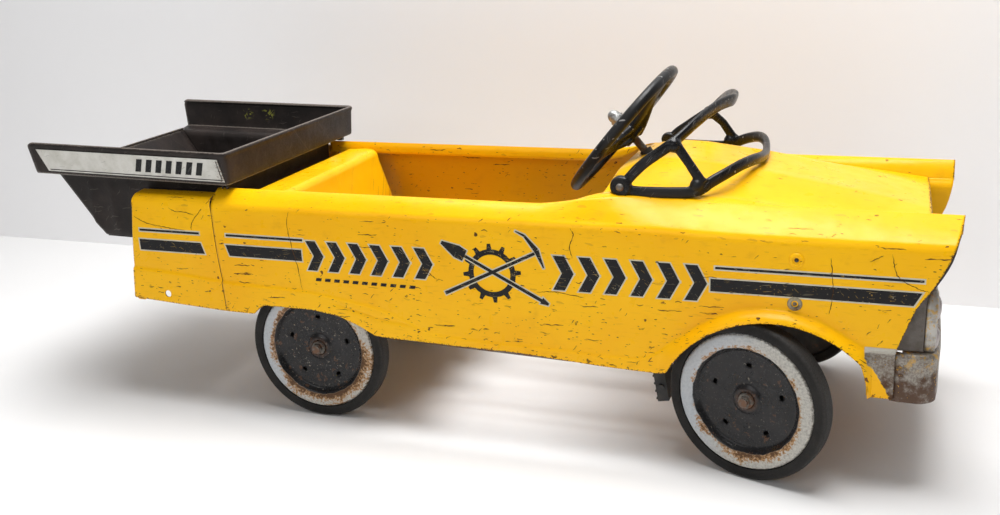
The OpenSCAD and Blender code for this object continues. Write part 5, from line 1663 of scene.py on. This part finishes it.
def side_prints():
    """Stripes, arrowheads, dashes and the emblem on both sides, black on white edges."""
    stripes = THIN_STRIPES + THICK_STRIPES
    arrows = chevrons(9, 193, 218, 258, 6) + chevrons(344, 534, 217, 260, 6)
    dashes = [box_quad(19 + 13.4 * k, 27 + 13.4 * k, 203.6, 208, 1.5, 1.5) for k in range(11)]
    white = [grown(q, 1.7) for q in stripes] + [grown(q, 1.5) for q in arrows]
    gear, tools = emblem(266, 232)
    # (name, shapes, height over the sheet)
    layers = (("print_white", white, 0.10), ("print_black", stripes + arrows + dashes, 0.18),
              ("emblem_gear", gear, 0.14), ("emblem_edge", [grown(q, 1.4) for q in tools], 0.20),
              ("emblem_tools", tools, 0.26))
    for side in (-1, 1):
        for name, quads, proud in layers:
            ink = "white" if name in ("print_white", "emblem_edge") else "black"
            prints(name + "_" + hand(side), quads, side, proud, "print_" + ink, ink + "_enamel")


# Everything together

MATERIAL = {
    "yellow": yellow_enamel("yellow_enamel_worn"),
    "inside": yellow_enamel("yellow_enamel_inside_painted_shade", inside=True),
    "rim": rusty_steel("sheet_edge", 0.1),
    "bed": bed_enamel("bed_black"),
    "black": glossy_black("moulded_black"),
    "tyre": tyre_rubber("tyre_solid_rubber"),
    "rust": rusty_steel("rusted_steel"),
    "dark": dull_coat("chassis_paint", (0.04, 4.0, 0.62), (0.6, 3.0, 0.7), (0.012, 0.0115, 0.0115),
                      (0.035, 0.031, 0.028), (0.74, 0.86), (0.4, 0.7), 0.0, True),
    "silver": dull_silver("dull_silver_paint"),
    "plated": bare_plate("plated_nut", (0.42, 0.42, 0.41)),
    "eyelet": bare_plate("eyelet_metal", (0.34, 0.30, 0.22), 0.6, 0.4),
    "rubber": pad_rubber("pad_rubber"),
    "plate": plate_white("plate_enamel"),
    "grille": dull_coat("grille_grey", (0.06, 4.0, 0.6), (0.7, 3.0, 0.7), (0.075, 0.060, 0.048),
                        (0.13, 0.115, 0.10), (0.76, 0.86), (0.4, 0.6), 0.2, False),
    "lamp": bare_plate("lamp_metal", (0.46, 0.41, 0.40), 0.25, 0.42),
    "crack": crack_line("crack_rust"),
    "plate_ink": glossy_black("plate_ink", 0.3),
    "print_black": printed("print_black_ink", (0.011, 0.0105, 0.0115)),
    "print_white": printed("print_white_ink", (0.60, 0.56, 0.44), 0.6),
}


def paint_cad():
    """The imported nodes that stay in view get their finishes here."""
    finish = {"rear_panel": "yellow", "axle_bearings": "plated", "column_grommet": "rubber", "band_plates": "plate"}
    finish |= dict.fromkeys(("frame_rails", "front_axle_beam", "axle_hangers", "column_bracket",
                             "pedal_rod_brackets", "hinge_brackets"), "dark")
    for name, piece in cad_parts.items():
        key = finish.get(name, "rust")
        if name.startswith(("inner_disc", "pedal_arm")):
            key = "dark"
        elif name.startswith("pedal_pad"):
            key = "rubber"
        if not piece.material_slots:
            piece.data.materials.append(MATERIAL[key])
        for slot in piece.material_slots:
            slot.material = MATERIAL[key]
        weld = piece.modifiers.new("weld", "WELD")
        weld.merge_threshold = 0.00001
        soften(piece, 0.45 * MM, 2, 38)


paint_cad()
for SIDE in (-1, 1):
    side_panel(SIDE)
    rear_quarter(SIDE)
    fin_cheek(SIDE)
hood()
grille_skin()
lamp_pods()
seat()
dump_bed()
plate_trim()
steering_wheel()
dome_nut()
column_skin()
windshield()
bumper()
eyelets()
side_prints()
cracks()
wheel("front_right", "wheel_front_right", front=True, side=-1, rust=0.10, seed=1)
wheel("front_left", "wheel_front_left", front=True, side=1, rust=0.12, seed=2)
wheel("rear_right", "crank", front=False, side=-1, rust=0.26, seed=3)
wheel("rear_left", "wheel_rear_left", front=False, side=1, rust=0.22, seed=4)
make_stage()
